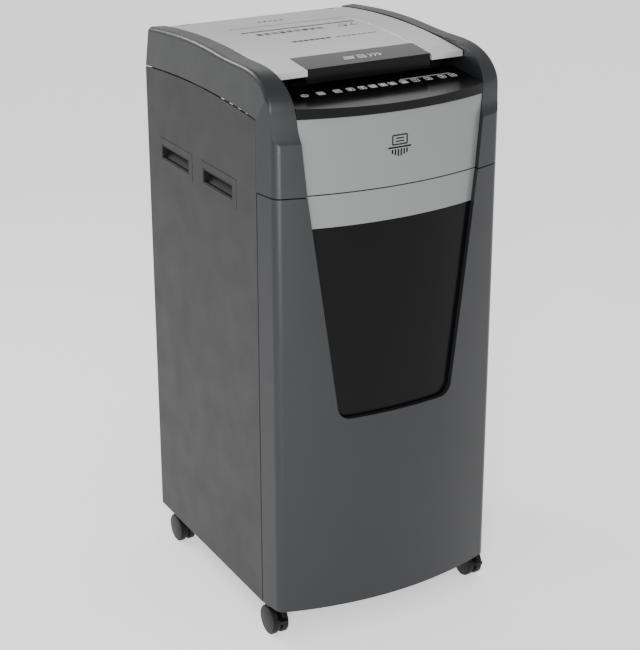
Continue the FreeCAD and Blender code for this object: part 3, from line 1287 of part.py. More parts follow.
def caster(name, x, y, braked):
    """A twin-wheel swivel caster: fork with stem, wheel pair with axle, and a brake lever."""
    x0, y0 = value(x), value(y)
    trail, radius = value("caster_trail"), value("wheel_radius")
    axle_y = y0 - trail
    web = value("web_wall")
    top = value("underside - bracket_wall") - 0.5
    disc = Part.makeCylinder(radius - 5, web, Vector(x0 - web / 2, axle_y, radius), Vector(1, 0, 0))
    neck = prism([(axle_y - 4, radius), (y0 + 8, radius + 6), (y0 + 9, top - 3), (y0 - 9, top - 3),
                  (axle_y - 12, radius + 17)], "X", x0 - web / 2, web)
    crown = Part.makeCylinder(9, 3, Vector(x0, y0, top - 3))
    stem = Part.makeCylinder(value("stem_pin"), value("stem_length"), Vector(x0, y0, top - 0.5))
    fork = disc.fuse(neck).fuse(crown).fuse(stem)
    fork = fork.cut(Part.makeCylinder(value("caster_axle + run_gap"), web + 4,
                                      Vector(x0 - web / 2 - 2, axle_y, radius), Vector(1, 0, 0)))
    arm_wall, arm_low = web - 3, radius + 8
    pivot = Vector(x0 - web / 2, axle_y - 11, arm_low + 2.5)
    if braked:
        slot = Part.makeBox(arm_wall + 0.8, 39, 21, Vector(x0 - arm_wall / 2 - 0.4, axle_y - 45,
                                                           arm_low - 5))
        pin_hole = Part.makeCylinder(value("lever_pin + run_gap"), web, pivot, Vector(1, 0, 0))
        fork = fork.cut(slot.fuse(pin_hole))
    node(feature(f"caster_fork_{name}", fork.removeSplitter()), f"caster_fork_{name}")
    wheels = [Part.makeCylinder(value("caster_axle"), value("wheel_gap") + 8,
                                Vector(x0 - value("wheel_gap") / 2 - 4, axle_y, radius),
                                Vector(1, 0, 0))]
    for side in (-1, 1):
        start = x0 + side * value("wheel_gap") / 2
        wheel = Part.makeCylinder(radius, value("wheel_width"), Vector(start, axle_y, radius),
                                  Vector(side, 0, 0))
        wheel = wheel.makeFillet(2.5, [edge for edge in wheel.Edges
                                       if abs(edge.Length - 2 * math.pi * radius) < 0.1])
        dish = Part.makeCylinder(radius * 0.62, 2.5,
                                 Vector(start + side * (value("wheel_width") - 2.5), axle_y, radius),
                                 Vector(side, 0, 0))
        hub = Part.makeCylinder(radius * 0.25, 2, Vector(start + side * (value("wheel_width") - 2.5),
                                                         axle_y, radius), Vector(side, 0, 0))
        wheels.append(wheel.cut(dish).fuse(hub))
    pair = wheels[0].multiFuse(wheels[1:])
    node(feature(f"caster_wheels_{name}", pair), f"caster_wheels_{name}")
    if not braked:
        return
    pad_y = axle_y - radius - 12
    arm = Part.makeBox(arm_wall, axle_y - 8.5 - pad_y, 5, Vector(x0 - arm_wall / 2, pad_y, arm_low))
    pad = Part.makeBox(value("lever_width"), 9, 5, Vector(x0 - value("lever_width") / 2, pad_y,
                                                          arm_low))
    pin = Part.makeCylinder(value("lever_pin"), web, pivot, Vector(1, 0, 0))
    lever = arm.multiFuse([pad, pin]).removeSplitter()
    node(feature(f"brake_lever_{name}", lever), f"brake_lever_{name}")


# ---------------------------------------------------------------- assembly

side_panel("side_panel_left", -1)
side_panel("side_panel_right", 1)
grip_cups()
rear_panel()
case_screws()
base_tray()
caster_sockets()
divider_shelf()
door_jambs()
top_cover("top_cover_left", -1)
top_cover("top_cover_right", 1)
top_cover_rear()
front_fascia()
control_panel()
lid_shell()
lid_handle()
pressure_plate()
hinge_pins()
door_shell()
door_plates()
door_latch()
bin_tub()
chassis()
cutting_unit()
stripper_combs()
motor_housing()
gearbox_cover()
pick_up()
feed_chamber()
throat_guide()
control_board()
lid_lock()
rear_inlets()
for name, x, y, braked in CASTERS:
    caster(name, x, y, braked)

doc.recompute()
for item in doc.Objects:
    if "Invalid" in item.State or "Error" in item.State:
        raise RuntimeError(f"{item.Name} is {item.State}")
for item in NODES:
    if item.Shape.isNull() or not item.Shape.isValid():
        raise RuntimeError(f"{item.Label} has no valid shape")

os.makedirs("parts", exist_ok=True)
for item in NODES:
    item.Shape.exportStep(f"parts/{item.Label}.step")
print(len(NODES), "sub-parts written")
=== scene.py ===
import json
import logging
import math
from dataclasses import dataclass, field
from enum import Enum

import bmesh
import bpy
from mathutils import Matrix, Vector
from mathutils.bvhtree import BVHTree


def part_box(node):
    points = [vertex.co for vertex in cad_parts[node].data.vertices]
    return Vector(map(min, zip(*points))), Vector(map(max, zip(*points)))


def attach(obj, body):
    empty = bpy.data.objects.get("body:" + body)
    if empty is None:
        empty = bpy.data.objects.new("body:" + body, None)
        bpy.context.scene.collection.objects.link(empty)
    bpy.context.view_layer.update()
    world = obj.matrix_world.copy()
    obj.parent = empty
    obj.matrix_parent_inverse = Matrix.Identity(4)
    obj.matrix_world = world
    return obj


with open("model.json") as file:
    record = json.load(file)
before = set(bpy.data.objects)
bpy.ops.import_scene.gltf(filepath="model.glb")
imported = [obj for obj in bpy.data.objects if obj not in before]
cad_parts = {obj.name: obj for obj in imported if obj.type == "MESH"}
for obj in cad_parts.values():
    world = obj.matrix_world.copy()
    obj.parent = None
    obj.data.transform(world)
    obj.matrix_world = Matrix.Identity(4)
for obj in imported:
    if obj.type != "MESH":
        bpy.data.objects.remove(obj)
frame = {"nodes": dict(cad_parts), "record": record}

LOG = logging.getLogger("shredder")
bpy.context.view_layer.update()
MM = 0.001
WHITE = (1.0, 1.0, 1.0, 1.0)
FLOOR_PAINT = (0.9, 0.9, 0.9, 1.0)
AROUND = 2 * math.pi

Colour = tuple[float, float, float]


class Texture(Enum):
    """How the surface of a finish is structured."""

    POWDER = "powder coat"
    MOULDED = "moulded plastic"
    METALLIC = "metallic lacquer"
    POLISHED = "polished plastic"
    BRUSHED = "brushed metal"
    RUBBER = "rubber"
    BOARD = "circuit board"
    INK = "printed ink"


class Side(Enum):
    """The side of a piece that a print is laid on."""

    TOP = "from above"
    FRONT = "from the front"


class Graph:
    """A material's node tree, with short calls that add and link nodes."""

    def __init__(self, name: str) -> None:
        """Makes the material.

        Args:
            name: The material's name.
        """
        self.material = bpy.data.materials.new(name)
        self.material.use_nodes = True
        self.nodes = self.material.node_tree.nodes
        self.links = self.material.node_tree.links
        self.shader = self.nodes["Principled BSDF"]
        self.place = self.nodes.new("ShaderNodeTexCoord").outputs["Object"]

    def add(self, kind: str, **values: object) -> bpy.types.Node:
        """Adds a node.

        Args:
            kind: The node's type.
            **values: Values of its inputs, by name with _ for a space.

        Returns:
            The new node.
        """
        node = self.nodes.new(kind)
        for name, value in values.items():
            node.inputs[name.replace("_", " ")].default_value = value
        return node

    def link(self, source: bpy.types.NodeSocket, node: bpy.types.Node, name: str) -> None:
        """Links a socket to a node's named input."""
        self.links.new(source, node.inputs[name])

    def noise(self, scale: float, detail: float = 2.0,
              stretch: tuple[float, float, float] = (1.0, 1.0, 1.0)) -> bpy.types.NodeSocket:
        """Adds noise in object space.

        Args:
            scale: Features per metre.
            detail: Octaves.
            stretch: Scale along each axis.

        Returns:
            The noise, mostly between 0.25 and 0.75.
        """
        mapping = self.add("ShaderNodeMapping", Scale=stretch)
        self.link(self.place, mapping, "Vector")
        node = self.add("ShaderNodeTexNoise", Scale=scale, Detail=detail)
        self.link(mapping.outputs["Vector"], node, "Vector")
        return node.outputs["Fac"]

    def cells(self, scale: float) -> bpy.types.NodeSocket:
        """Adds a cell pattern in object space and returns the distance to a cell's middle."""
        node = self.add("ShaderNodeTexVoronoi", Scale=scale)
        self.link(self.place, node, "Vector")
        return node.outputs["Distance"]

    def spread(self, source: bpy.types.NodeSocket, low: float, high: float,
               start: float = 0.25, end: float = 0.75) -> bpy.types.NodeSocket:
        """Maps a span of a value onto a range.

        Args:
            source: The value.
            low: The result at start.
            high: The result at end.
            start: Where the span starts.
            end: Where the span ends.

        Returns:
            The mapped value, held inside the range.
        """
        node = self.nodes.new("ShaderNodeMapRange")
        for name, value in (("From Min", start), ("From Max", end), ("To Min", low), ("To Max", high)):
            node.inputs[name].default_value = value
        self.link(source, node, "Value")
        return node.outputs["Result"]

    def mix(self, factor: bpy.types.NodeSocket, first: bpy.types.NodeSocket | Colour,
            second: Colour) -> bpy.types.NodeSocket:
        """Mixes two colours by a factor.

        Args:
            factor: 0 for the first colour, 1 for the second.
            first: A colour or a colour socket.
            second: The other colour.

        Returns:
            The mixed colour.
        """
        node = self.nodes.new("ShaderNodeMix")
        node.data_type = "RGBA"
        sockets = {socket.identifier: socket for socket in node.inputs}
        if isinstance(first, tuple):
            sockets["A_Color"].default_value = (*first, 1.0)
        else:
            self.links.new(first, sockets["A_Color"])
        sockets["B_Color"].default_value = (*second, 1.0)
        self.links.new(factor, sockets["Factor_Float"])
        return next(socket for socket in node.outputs if socket.identifier == "Result_Color")

    def rounded(self, radius: float) -> tuple[bpy.types.NodeSocket, bpy.types.NodeSocket]:
        """Rounds edges in the shading.

        Args:
            radius: Metres.

        Returns:
            The rounded normal, and how far it leaves the true one, which marks the edges.
        """
        bevel = self.add("ShaderNodeBevel", Radius=radius)
        bevel.samples = 3
        true = self.nodes.new("ShaderNodeNewGeometry")
        dot = self.nodes.new("ShaderNodeVectorMath")
        dot.operation = "DOT_PRODUCT"
        self.links.new(bevel.outputs["Normal"], dot.inputs[0])
        self.links.new(true.outputs["Normal"], dot.inputs[1])
        return bevel.outputs["Normal"], self.spread(dot.outputs["Value"], 1.0, 0.0, 0.8, 0.99)

    def bump(self, height: bpy.types.NodeSocket, depth: float,
             normal: bpy.types.NodeSocket | None = None) -> bpy.types.NodeSocket:
        """Raises the surface by a height pattern.

        Args:
            height: The pattern.
            depth: Its height in metres.
            normal: The normal that it starts from, or None for the surface's own.

        Returns:
            The bumped normal.
        """
        node = self.add("ShaderNodeBump", Strength=1.0, Distance=depth)
        self.link(height, node, "Height")
        if normal is not None:
            self.link(normal, node, "Normal")
        return node.outputs["Normal"]


@dataclass(frozen=True)
class Finish:
    """One finish: its colour, how rough it is and how its surface is structured.

    Attributes:
        name: The finish's name, which is a material slot of the record or an ink.
        colour: Its base colour, linear.
        texture: How its surface is structured.
        roughness: The middle of its roughness.
        metallic: 0 for plastic or paint, 1 for bare metal.
        coat: Strength of the clear coat.
        grain: Width of a grain in metres.
        depth: Height of a grain in metres.
        mottle: How far the colour drifts either way, as a share.
        unevenness: How far the roughness drifts either way.
        edge: Radius of the rounded edges in the shading, in metres.
        wear: How much the edges are rubbed lighter.
        shine: Specular level, 0.5 for a usual plastic.
    """

    name: str
    colour: Colour
    texture: Texture
    roughness: float = 0.5
    metallic: float = 0.0
    coat: float = 0.0
    grain: float = 0.0007
    depth: float = 0.00004
    mottle: float = 0.06
    unevenness: float = 0.05
    edge: float = 0.0007
    wear: float = 0.35
    shine: float = 0.5

    def shade(self, share: float) -> Colour:
        """The finish's colour made lighter or darker by a share."""
        return tuple(min(1.0, channel * (1.0 + share)) for channel in self.colour)

    def grained(self, graph: Graph, normal: bpy.types.NodeSocket) -> bpy.types.NodeSocket:
        """Adds the finish's fine structure.

        Args:
            graph: The material's graph.
            normal: The normal that it starts from.

        Returns:
            The normal with the structure.
        """
        per_metre = 1.0 / self.grain
        if self.texture is Texture.BRUSHED:
            return graph.bump(graph.noise(per_metre, 2.0, (0.03, 1.0, 1.0)), self.depth, normal)
        if self.texture in (Texture.MOULDED, Texture.RUBBER):
            return graph.bump(graph.cells(per_metre), self.depth, normal)
        if self.texture is Texture.BOARD:
            tracks = graph.noise(per_metre, 0.0, (1.0, 0.15, 1.0))
            return graph.bump(graph.spread(tracks, 0.0, 1.0, 0.48, 0.52), self.depth, normal)
        return graph.bump(graph.noise(per_metre, 3.0), self.depth, normal)

    def build(self) -> bpy.types.Material:
        """Makes the finish's material.

        Returns:
            The material, with its pattern in object space.
        """
        graph = Graph(self.name)
        shader = graph.shader
        shader.inputs["Metallic"].default_value = self.metallic
        shader.inputs["Specular IOR Level"].default_value = self.shine
        shader.inputs["Coat Weight"].default_value = self.coat
        shader.inputs["Coat Roughness"].default_value = 0.06
        normal, edges = graph.rounded(self.edge)
        cloud = graph.spread(graph.noise(6.0, 3.0), 0.0, 1.0)
        colour = graph.mix(cloud, self.shade(-self.mottle), self.shade(self.mottle))
        if self.texture is Texture.METALLIC:
            flakes = graph.spread(graph.noise(2600.0, 1.0), 0.0, 0.5, 0.56, 0.7)
            colour = graph.mix(flakes, colour, self.shade(0.5))
        scuffs = graph.noise(160.0, 4.0)
        patchy = graph.nodes.new("ShaderNodeMath")
        patchy.operation = "MULTIPLY"
        graph.links.new(edges, patchy.inputs[0])
        graph.links.new(graph.spread(scuffs, 0.0, self.wear, 0.4, 0.65), patchy.inputs[1])
        colour = graph.mix(patchy.outputs["Value"], colour, self.shade(1.6))
        graph.link(colour, shader, "Base Color")
        rough = graph.spread(graph.noise(21.0, 4.0), self.roughness - self.unevenness,
                             self.roughness + self.unevenness)
        graph.link(rough, shader, "Roughness")
        graph.link(self.grained(graph, normal), shader, "Normal")
        return graph.material


FINISHES = {finish.name: finish for finish in (
    Finish("cabinet_paint", (0.024, 0.0242, 0.0247), Texture.POWDER, 0.42, grain=0.0011,
           depth=0.00002, mottle=0.03, wear=0.06, shine=0.16),
    Finish("inner_steel", (0.02, 0.02, 0.022), Texture.POWDER, 0.5, grain=0.0011, shine=0.3),
    Finish("cover_grey", (0.014, 0.0146, 0.0164), Texture.METALLIC, 0.36, 0.1, grain=0.0009,
           depth=0.000008, mottle=0.03, wear=0.0, shine=0.45),
    Finish("fascia_silver", (0.2, 0.204, 0.204), Texture.METALLIC, 0.3, 0.3, grain=0.0006,
           depth=0.000006, mottle=0.015, wear=0.08, shine=0.3),
    Finish("lid_silver", (0.55, 0.553, 0.56), Texture.METALLIC, 0.3, 0.4, grain=0.0006,
           depth=0.000006, mottle=0.015, wear=0.08),
    Finish("gloss_black", (0.003, 0.003, 0.0035), Texture.POLISHED, 0.14, grain=0.02,
           depth=0.00002, unevenness=0.03, edge=0.0011, wear=0.1, shine=0.16),
    Finish("smoked_window", (0.002, 0.002, 0.0022), Texture.POLISHED, 0.22, grain=0.03,
           depth=0.00002, unevenness=0.03, wear=0.1, shine=0.12),
    Finish("black_plastic", (0.006, 0.006, 0.0065), Texture.MOULDED, 0.55, wear=0.2, shine=0.3),
    Finish("caster_black", (0.005, 0.0052, 0.0055), Texture.MOULDED, 0.45, wear=0.15, shine=0.2),
    Finish("wheel_rubber", (0.006, 0.0062, 0.0068), Texture.RUBBER, 0.55, grain=0.0012, wear=0.15,
           shine=0.2),
    Finish("cutter_steel", (0.42, 0.42, 0.42), Texture.BRUSHED, 0.33, 1.0, grain=0.0005,
           depth=0.00001),
    Finish("zinc_steel", (0.5, 0.5, 0.48), Texture.BRUSHED, 0.38, 1.0, grain=0.0008,
           depth=0.00001, mottle=0.12),
    Finish("gear_steel", (0.3, 0.3, 0.3), Texture.BRUSHED, 0.45, 1.0, grain=0.0006, depth=0.00001),
    Finish("bearing_bronze", (0.42, 0.28, 0.12), Texture.BRUSHED, 0.4, 1.0, grain=0.0006,
           depth=0.00001),
    Finish("motor_black", (0.016, 0.016, 0.018), Texture.POWDER, 0.35),
    Finish("board_green", (0.012, 0.09, 0.035), Texture.BOARD, 0.35, grain=0.004, depth=0.00005),
    Finish("roller_rubber", (0.02, 0.02, 0.02), Texture.RUBBER, 0.85, grain=0.001),
    Finish("bin_plastic", (0.018, 0.018, 0.02), Texture.MOULDED, 0.4, grain=0.0012),
    Finish("white_ink", (0.8, 0.8, 0.8), Texture.INK, 0.5, edge=0.0001, depth=0.000004, wear=0.05),
    # This near-black ink is used for the prints, and also for the painted shade band at the rear of
    # the lid's recess.
    Finish("grey_ink_and_painted_shade", (0.012, 0.012, 0.013), Texture.INK, 0.45, edge=0.0001, depth=0.000004,
           wear=0.05, shine=0.3),
)}


@dataclass
class Wardrobe:
    """The finishes as materials, each made once."""

    made: dict[str, bpy.types.Material] = field(default_factory=dict)

    def get(self, name: str) -> bpy.types.Material:
        """The material of a finish, made when first asked for."""
        if name not in self.made:
            self.made[name] = FINISHES[name].build()
        return self.made[name]

    def dress_nodes(self) -> None:
        """Gives each CAD node the material of its slot in the record."""
        for part in frame["record"]["subparts"]:
            mesh = frame["nodes"][part["node"]].data
            mesh.materials.clear()
            mesh.materials.append(self.get(part["material_slot"]))


WARDROBE = Wardrobe()


def settle(form: bmesh.types.BMesh, name: str, body: str, finish: str) -> bpy.types.Object:
    """Makes a finished piece of a mesh and lets it ride.

    Args:
        form: The mesh, in place, in metres. It is freed.
        name: The piece's name.
        body: The body that it rides on.
        finish: Its finish.

    Returns:
        The piece.
    """
    mesh = bpy.data.meshes.new(name)
    form.to_mesh(mesh)
    form.free()
    piece = bpy.data.objects.new(name, mesh)
    bpy.context.scene.collection.objects.link(piece)
    mesh.materials.append(WARDROBE.get(finish))
    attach(piece, body)
    LOG.info("made %s on %s", name, body)
    return piece


class Pen:
    """Draws a flat print in millimetres and lays it on a piece."""

    THICKNESS = 0.2 * MM
    STEP = 4.0

    def __init__(self) -> None:
        """Starts an empty print."""
        self.form = bmesh.new()

    def move(self, verts: list[bmesh.types.BMVert], x: float, y: float, turn: float = 0.0) -> None:
        """Turns points about the origin by degrees and moves them to a place."""
        place = Matrix.Translation((x, y, 0.0)) @ Matrix.Rotation(math.radians(turn), 4, "Z")
        bmesh.ops.transform(self.form, matrix=place, verts=verts)

    def bar(self, x: float, y: float, length: float, width: float, turn: float = 0.0) -> None:
        """Draws a bar.

        Args:
            x: Its middle.
            y: Its middle.
            length: Along x before it turns.
            width: Across.
            turn: Degrees.
        """
        cells = max(1, round(length / self.STEP))
        made = bmesh.ops.create_grid(self.form, x_segments=cells, y_segments=1, size=0.5)
        bmesh.ops.scale(self.form, vec=(length, width, 1.0), verts=made["verts"])
        self.move(made["verts"], x, y, turn)

    def frame(self, x: float, y: float, wide: float, tall: float, line: float,
              corner: float = 1.2) -> None:
        """Draws a rectangle's outline with rounded corners.

        Args:
            x: Its middle.
            y: Its middle.
            wide: Along x.
            tall: Along y.
            line: Thickness of the line.
            corner: Radius of the corners.
        """
        made = bmesh.ops.create_grid(self.form, x_segments=1, y_segments=1, size=0.5)
        verts = made["verts"]
        bmesh.ops.scale(self.form, vec=(wide, tall, 1.0), verts=verts)
        self.move(verts, x, y)
        face = verts[0].link_faces[0]
        if corner > 0.0:
            rounded = bmesh.ops.bevel(self.form, geom=verts, offset=corner, segments=3, profile=0.5,
                                      affect="VERTICES", material=-1)
            face = max({f for v in rounded["verts"] for f in v.link_faces},
                       key=lambda f: f.calc_area())
        bmesh.ops.inset_region(self.form, faces=[face], thickness=line, use_even_offset=True,
                                use_boundary=True)
        sides = [e for e in face.edges if e.calc_length() > self.STEP]
        bmesh.ops.delete(self.form, geom=[face], context="FACES_ONLY")
        bmesh.ops.subdivide_edges(self.form, edges=sides, cuts=2, use_grid_fill=True)

    def arc(self, x: float, y: float, radius: float, line: float, start: float,
            sweep: float) -> None:
        """Draws part of a ring.

        Args:
            x: Its middle.
            y: Its middle.
            radius: To the middle of the line.
            line: Thickness of the line.
            start: Degrees from +x.
            sweep: Degrees.
        """
        inner = self.form.verts.new((radius - line / 2, 0.0, 0.0))
        outer = self.form.verts.new((radius + line / 2, 0.0, 0.0))
        edge = self.form.edges.new((inner, outer))
        known = set(self.form.verts) - {inner, outer}
        bmesh.ops.spin(self.form, geom=[inner, outer, edge], cent=(0, 0, 0), axis=(0, 0, 1),
                       angle=math.radians(sweep), steps=18)
        self.move([v for v in self.form.verts if v not in known], x, y, start)

    def dot(self, x: float, y: float, radius: float, sides: int = 20, turn: float = 0.0,
            squeeze: float = 1.0) -> None:
        """Draws a filled disc, or with few sides a triangle or a diamond.

        Args:
            x: Its middle.
            y: Its middle.
            radius: To its corners.
            sides: Number of corners.
            turn: Degrees.
            squeeze: Its size along y as a share.
        """
        made = bmesh.ops.create_circle(self.form, cap_ends=True, radius=radius, segments=sides)
        self.move(made["verts"], 0.0, 0.0, turn)
        bmesh.ops.scale(self.form, vec=(1.0, squeeze, 1.0), verts=made["verts"])
        self.move(made["verts"], x, y)

    def wedge(self, x: float, y: float, size: float, left: bool = False) -> None:
        """Draws a filled triangle that points right, or left."""
        self.dot(x, y, size, sides=3, turn=90.0 if left else -90.0)

    def figure(self, text: str, x: float, y: float, size: float) -> None:
        """Draws a number.

        Args:
            text: The number.
            x: Its middle.
            y: Its middle.
            size: Its height, roughly.
        """
        letters = bpy.data.curves.new("figure", "FONT")
        letters.body = text
        letters.size = size * 1.4
        letters.align_x, letters.align_y = "CENTER", "CENTER"
        holder = bpy.data.objects.new("figure", letters)
        bpy.context.scene.collection.objects.link(holder)
        bpy.context.view_layer.update()
        mesh = bpy.data.meshes.new_from_object(holder.evaluated_get(
            bpy.context.evaluated_depsgraph_get()))
        known = set(self.form.verts)
        self.form.from_mesh(mesh)
        self.move([v for v in self.form.verts if v not in known], x, y)
        bpy.data.objects.remove(holder)
        bpy.data.meshes.remove(mesh)

    def lay(self, name: str, node: str, side: Side, body: str, ink: str) -> bpy.types.Object:
        """Lays the print on a piece's surface and gives it the thickness of ink.

        Args:
            name: The print's name.
            node: The CAD node that carries it.
            side: The side that it is on: x and y lie along X and Y, or along X and Z.
            body: The body that it rides on.
            ink: Its finish.

        Returns:
            The print.
        """
        source = frame["nodes"][node].data
        tree = BVHTree.FromPolygons([v.co for v in source.vertices],
                                    [p.vertices for p in source.polygons])
        self.form.normal_update()
        down = [f for f in self.form.faces if f.normal.z < 0.0]
        bmesh.ops.reverse_faces(self.form, faces=down)
        for vert in self.form.verts:
            across, along = vert.co.x * MM, vert.co.y * MM
            if side is Side.TOP:
                start, ray = Vector((across, along, 2.0)), Vector((0.0, 0.0, -1.0))
            else:
                start, ray = Vector((across, -2.0, along)), Vector((0.0, 1.0, 0.0))
            place, _, _, _ = tree.ray_cast(start, ray)
            if place is None:
                raise ValueError(f"{name} leaves {node} at {across:.4f}, {along:.4f}")
            vert.co = place - ray * self.THICKNESS * 0.9
        bmesh.ops.solidify(self.form, geom=self.form.faces[:], thickness=-self.THICKNESS)
        bmesh.ops.recalc_face_normals(self.form, faces=self.form.faces[:])
        return settle(self.form, name, body, ink)


@dataclass
class PanelPrint:
    """The key symbols on the control panel."""

    row: float = -175.0
    start: float = -136.0
    wide: float = 12.6
    tall: float = 13.0
    line: float = 1.15
    steps: tuple[float, ...] = (0.0, 30.0, 61.0, 86.0, 108.4, 128.7, 148.1, 166.5, 188.8, 212.0,
                                237.2, 265.2, 286.5)

    def key(self, pen: Pen, x: float) -> None:
        """Outlines one key."""
        pen.frame(x, self.row, self.wide, self.tall, self.line)

    def power(self, pen: Pen, x: float) -> None:
        """Draws the on and off symbol."""
        pen.arc(x, self.row, 5.4, 1.6, 125.0, 290.0)
        pen.bar(x, self.row + 3.0, 6.4, 1.6, 90.0)

    def build(self) -> bpy.types.Object:
        """Draws every symbol in one print.

        Returns:
            The print.
        """
        pen = Pen()
        row = self.row
        places = [self.start + step for step in self.steps]
        self.power(pen, places[0])
        for x in places[1:]:
            self.key(pen, x)
        for x, left in ((places[1], True), (places[2], False)):
            for shift in (-2.1, 2.1):
                pen.wedge(x + shift, row, 3.4, left)
        pen.wedge(places[3] - 0.4, row, 4.8)
        pen.bar(places[4], row + 3.0, 6.6, 1.8)
        pen.bar(places[4], row - 1.4, 6.0, 3.2, 90.0)
        pen.frame(places[5], row, 8.2, 8.0, 1.5, 0.6)
        pen.bar(places[5], row, 6.4, 1.6, 90.0)
        pen.dot(places[6], row, 4.2)
        pen.dot(places[7], row - 0.8, 3.6)
        pen.dot(places[7], row + 2.0, 3.2, sides=4)
        pen.bar(places[8], row - 1.8, 6.6, 5.2)
        pen.arc(places[8], row + 0.8, 2.2, 1.2, 0.0, 180.0)
        for number, x in enumerate(places[9:], start=1):
            pen.figure(str(number), x, row, 8.6)
        bracket = row + self.tall / 2 + 5.0
        wide = places[12] - places[8]
        pen.bar(places[8] + wide / 2, bracket, wide, 1.1)
        for x in (places[8], places[12]):
            pen.bar(x, bracket - 2.0, 4.0, 1.0, 90.0)
        return pen.lay("panel_symbols", "control_panel", Side.TOP, "cabinet", "white_ink")


@dataclass
class LidPrint:
    """The plain symbols on the lid and on its handle, and a dark band of painted shade at the rear
    edge of the lid's recess.
    """

    row: float = 66.0
    line: float = 1.0

    def handle(self) -> bpy.types.Object:
        """Draws a stack of sheets and three chevrons that point at the tray."""
        pen = Pen()
        y = -125.0
        for shift in (0.0, 4.6, 9.2):
            pen.bar(-26.0 + shift * 0.4, y - 4.6 + shift, 20.0, 2.4)
        pen.frame(0.0, y, 14.0, 15.0, 1.8, 1.0)
        for shift in (-3.2, 1.0):
            pen.bar(0.0, y + shift, 7.4, 1.7)
        for x in (17.0, 26.0, 35.0):
            pen.bar(x, y + 2.8, 9.0, 2.4, -45.0)
            pen.bar(x, y - 2.8, 9.0, 2.4, 45.0)
        return pen.lay("handle_symbols", "lid_handle", Side.TOP, "lid", "white_ink")

    def rules(self) -> bpy.types.Object:
        """Draws the row of what the tray takes with the fine rules round it, and a dark band of
        painted shade along the rear edge of the lid's recess, where its rear wall is in shade.
        """
        pen = Pen()
        row, line = self.row, self.line
        # Painted shade: this long dark bar stands in for the shaded rear wall of the lid's recess.
        pen.bar(-1.0, row + 26.0, 228.0, 4.2)
        for step in range(9):
            x = -92.0 + step * 15.0
            pen.frame(x, row, 9.6, 13.0, line, 0.6)
            if step % 3 == 0:
                for shift in (-2.6, 0.0, 2.6):
                    pen.bar(x, row + shift, 5.4, 1.0)
            elif step % 3 == 1:
                pen.dot(x, row, 2.4)
            else:
                pen.bar(x, row, 12.0, 1.2, 45.0)
        pen.arc(72.0, row + 2.0, 9.0, 1.8, 200.0, 250.0)
        pen.wedge(78.0, row - 7.0, 3.6)
        pen.bar(96.0, row + 6.0, 22.0, 1.4, 50.0)
        pen.bar(96.0, row - 5.0, 16.0, 1.2)
        return pen.lay("lid_symbols_and_painted_shade", "lid_shell", Side.TOP, "lid", "grey_ink_and_painted_shade")

    def marks(self) -> bpy.types.Object:
        """Draws a row of plain blocks in the middle of the lid and a small one behind it."""
        pen = Pen()
        y = -6.0
        for step in range(7):
            pen.bar(-62.0 + step * 11.0, y, 8.4, 6.6)
        for step in range(8):
            pen.bar(24.0 + step * 10.5, y, 7.6, 2.2)
        for step in range(5):
            pen.bar(-38.0 + step * 11.0, 172.0, 8.0, 4.0, 30.0)
        return pen.lay("lid_marks", "lid_shell", Side.TOP, "lid", "grey_ink_and_painted_shade")

    def build(self) -> None:
        """Lays the three prints."""
        self.handle()
        self.rules()
        self.marks()


@dataclass
class FasciaEmblem:
    """A plain emblem on the front: a sheet that goes over into strips."""

    x: float = 0.0
    z: float = 893.0
    wide: float = 44.0

    def build(self) -> bpy.types.Object:
        """Draws the emblem.

        Returns:
            The print.
        """
        pen = Pen()
        pen.frame(self.x, self.z + 9.0, self.wide - 14.0, 18.0, 2.4, 2.5)
        for shift in (2.6, -2.6):
            pen.bar(self.x, self.z + 9.0 + shift, self.wide * 0.35, 1.8)
        pen.bar(self.x, self.z - 3.6, self.wide, 2.4)
        for step in range(6):
            fall = 13.0 - 2.2 * abs(step - 2.5)
            pen.bar(self.x - 14.0 + step * 5.6, self.z - 6.8 - fall / 2, fall, 2.8, 90.0)
        return pen.lay("fascia_emblem", "front_fascia", Side.FRONT, "cabinet", "grey_ink_and_painted_shade")


@dataclass
class WheelCaps:
    """Smooth domed covers over the hubs of the caster wheels."""

    radius: float = 0.0245
    dome: float = 0.0013
    seat: float = 0.0010
    places: tuple[str, ...] = ("front_left", "front_right", "rear_left", "rear_right")

    def cap(self, form: bmesh.types.BMesh, centre: Vector, way: float) -> None:
        """Adds one cap to a mesh by turning its profile about the axle.

        Args:
            form: The mesh.
            centre: The middle of the wheel's outer face.
            way: 1 or -1, the direction that the face looks in along X.
        """
        profile = ((-self.seat, self.radius), (0.0, self.radius), (0.25, 0.97), (0.3, 0.9),
                   (0.05, 0.86), (0.35, 0.8), (0.75, 0.5), (1.0, 0.0))
        points = []
        for step, (rise, share) in enumerate(profile):
            out = rise if step == 0 else rise * self.dome
            reach = share if step < 2 else share * self.radius
            points.append(form.verts.new((centre.x + way * out, centre.y, centre.z + reach)))
        edges = [form.edges.new(pair) for pair in zip(points, points[1:])]
        bmesh.ops.spin(form, geom=points + edges, cent=centre, axis=(1, 0, 0),
                       angle=AROUND, steps=36, use_merge=True)

    def build(self) -> None:
        """Makes the pair of caps of each caster."""
        for place in self.places:
            low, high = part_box(f"caster_wheels_{place}")
            form = bmesh.new()
            middle = (low + high) / 2
            for way, x in ((-1.0, low.x), (1.0, high.x)):
                self.cap(form, Vector((x, middle.y, middle.z)), way)
            bmesh.ops.remove_doubles(form, verts=form.verts[:], dist=0.00002)
            bmesh.ops.recalc_face_normals(form, faces=form.faces[:])
            bmesh.ops.holes_fill(form, edges=form.edges[:], sides=64)
            for face in form.faces:
                face.smooth = True
            settle(form, f"wheel_caps_{place}", f"wheels_{place}", "caster_black")


@dataclass(frozen=True)
class Softbox:
    """A rectangular soft light: its place, the point it faces, its size in metres and its watts."""

    name: str
    at: tuple[float, float, float]
    aim: tuple[float, float, float]
    size: tuple[float, float]
    power: float


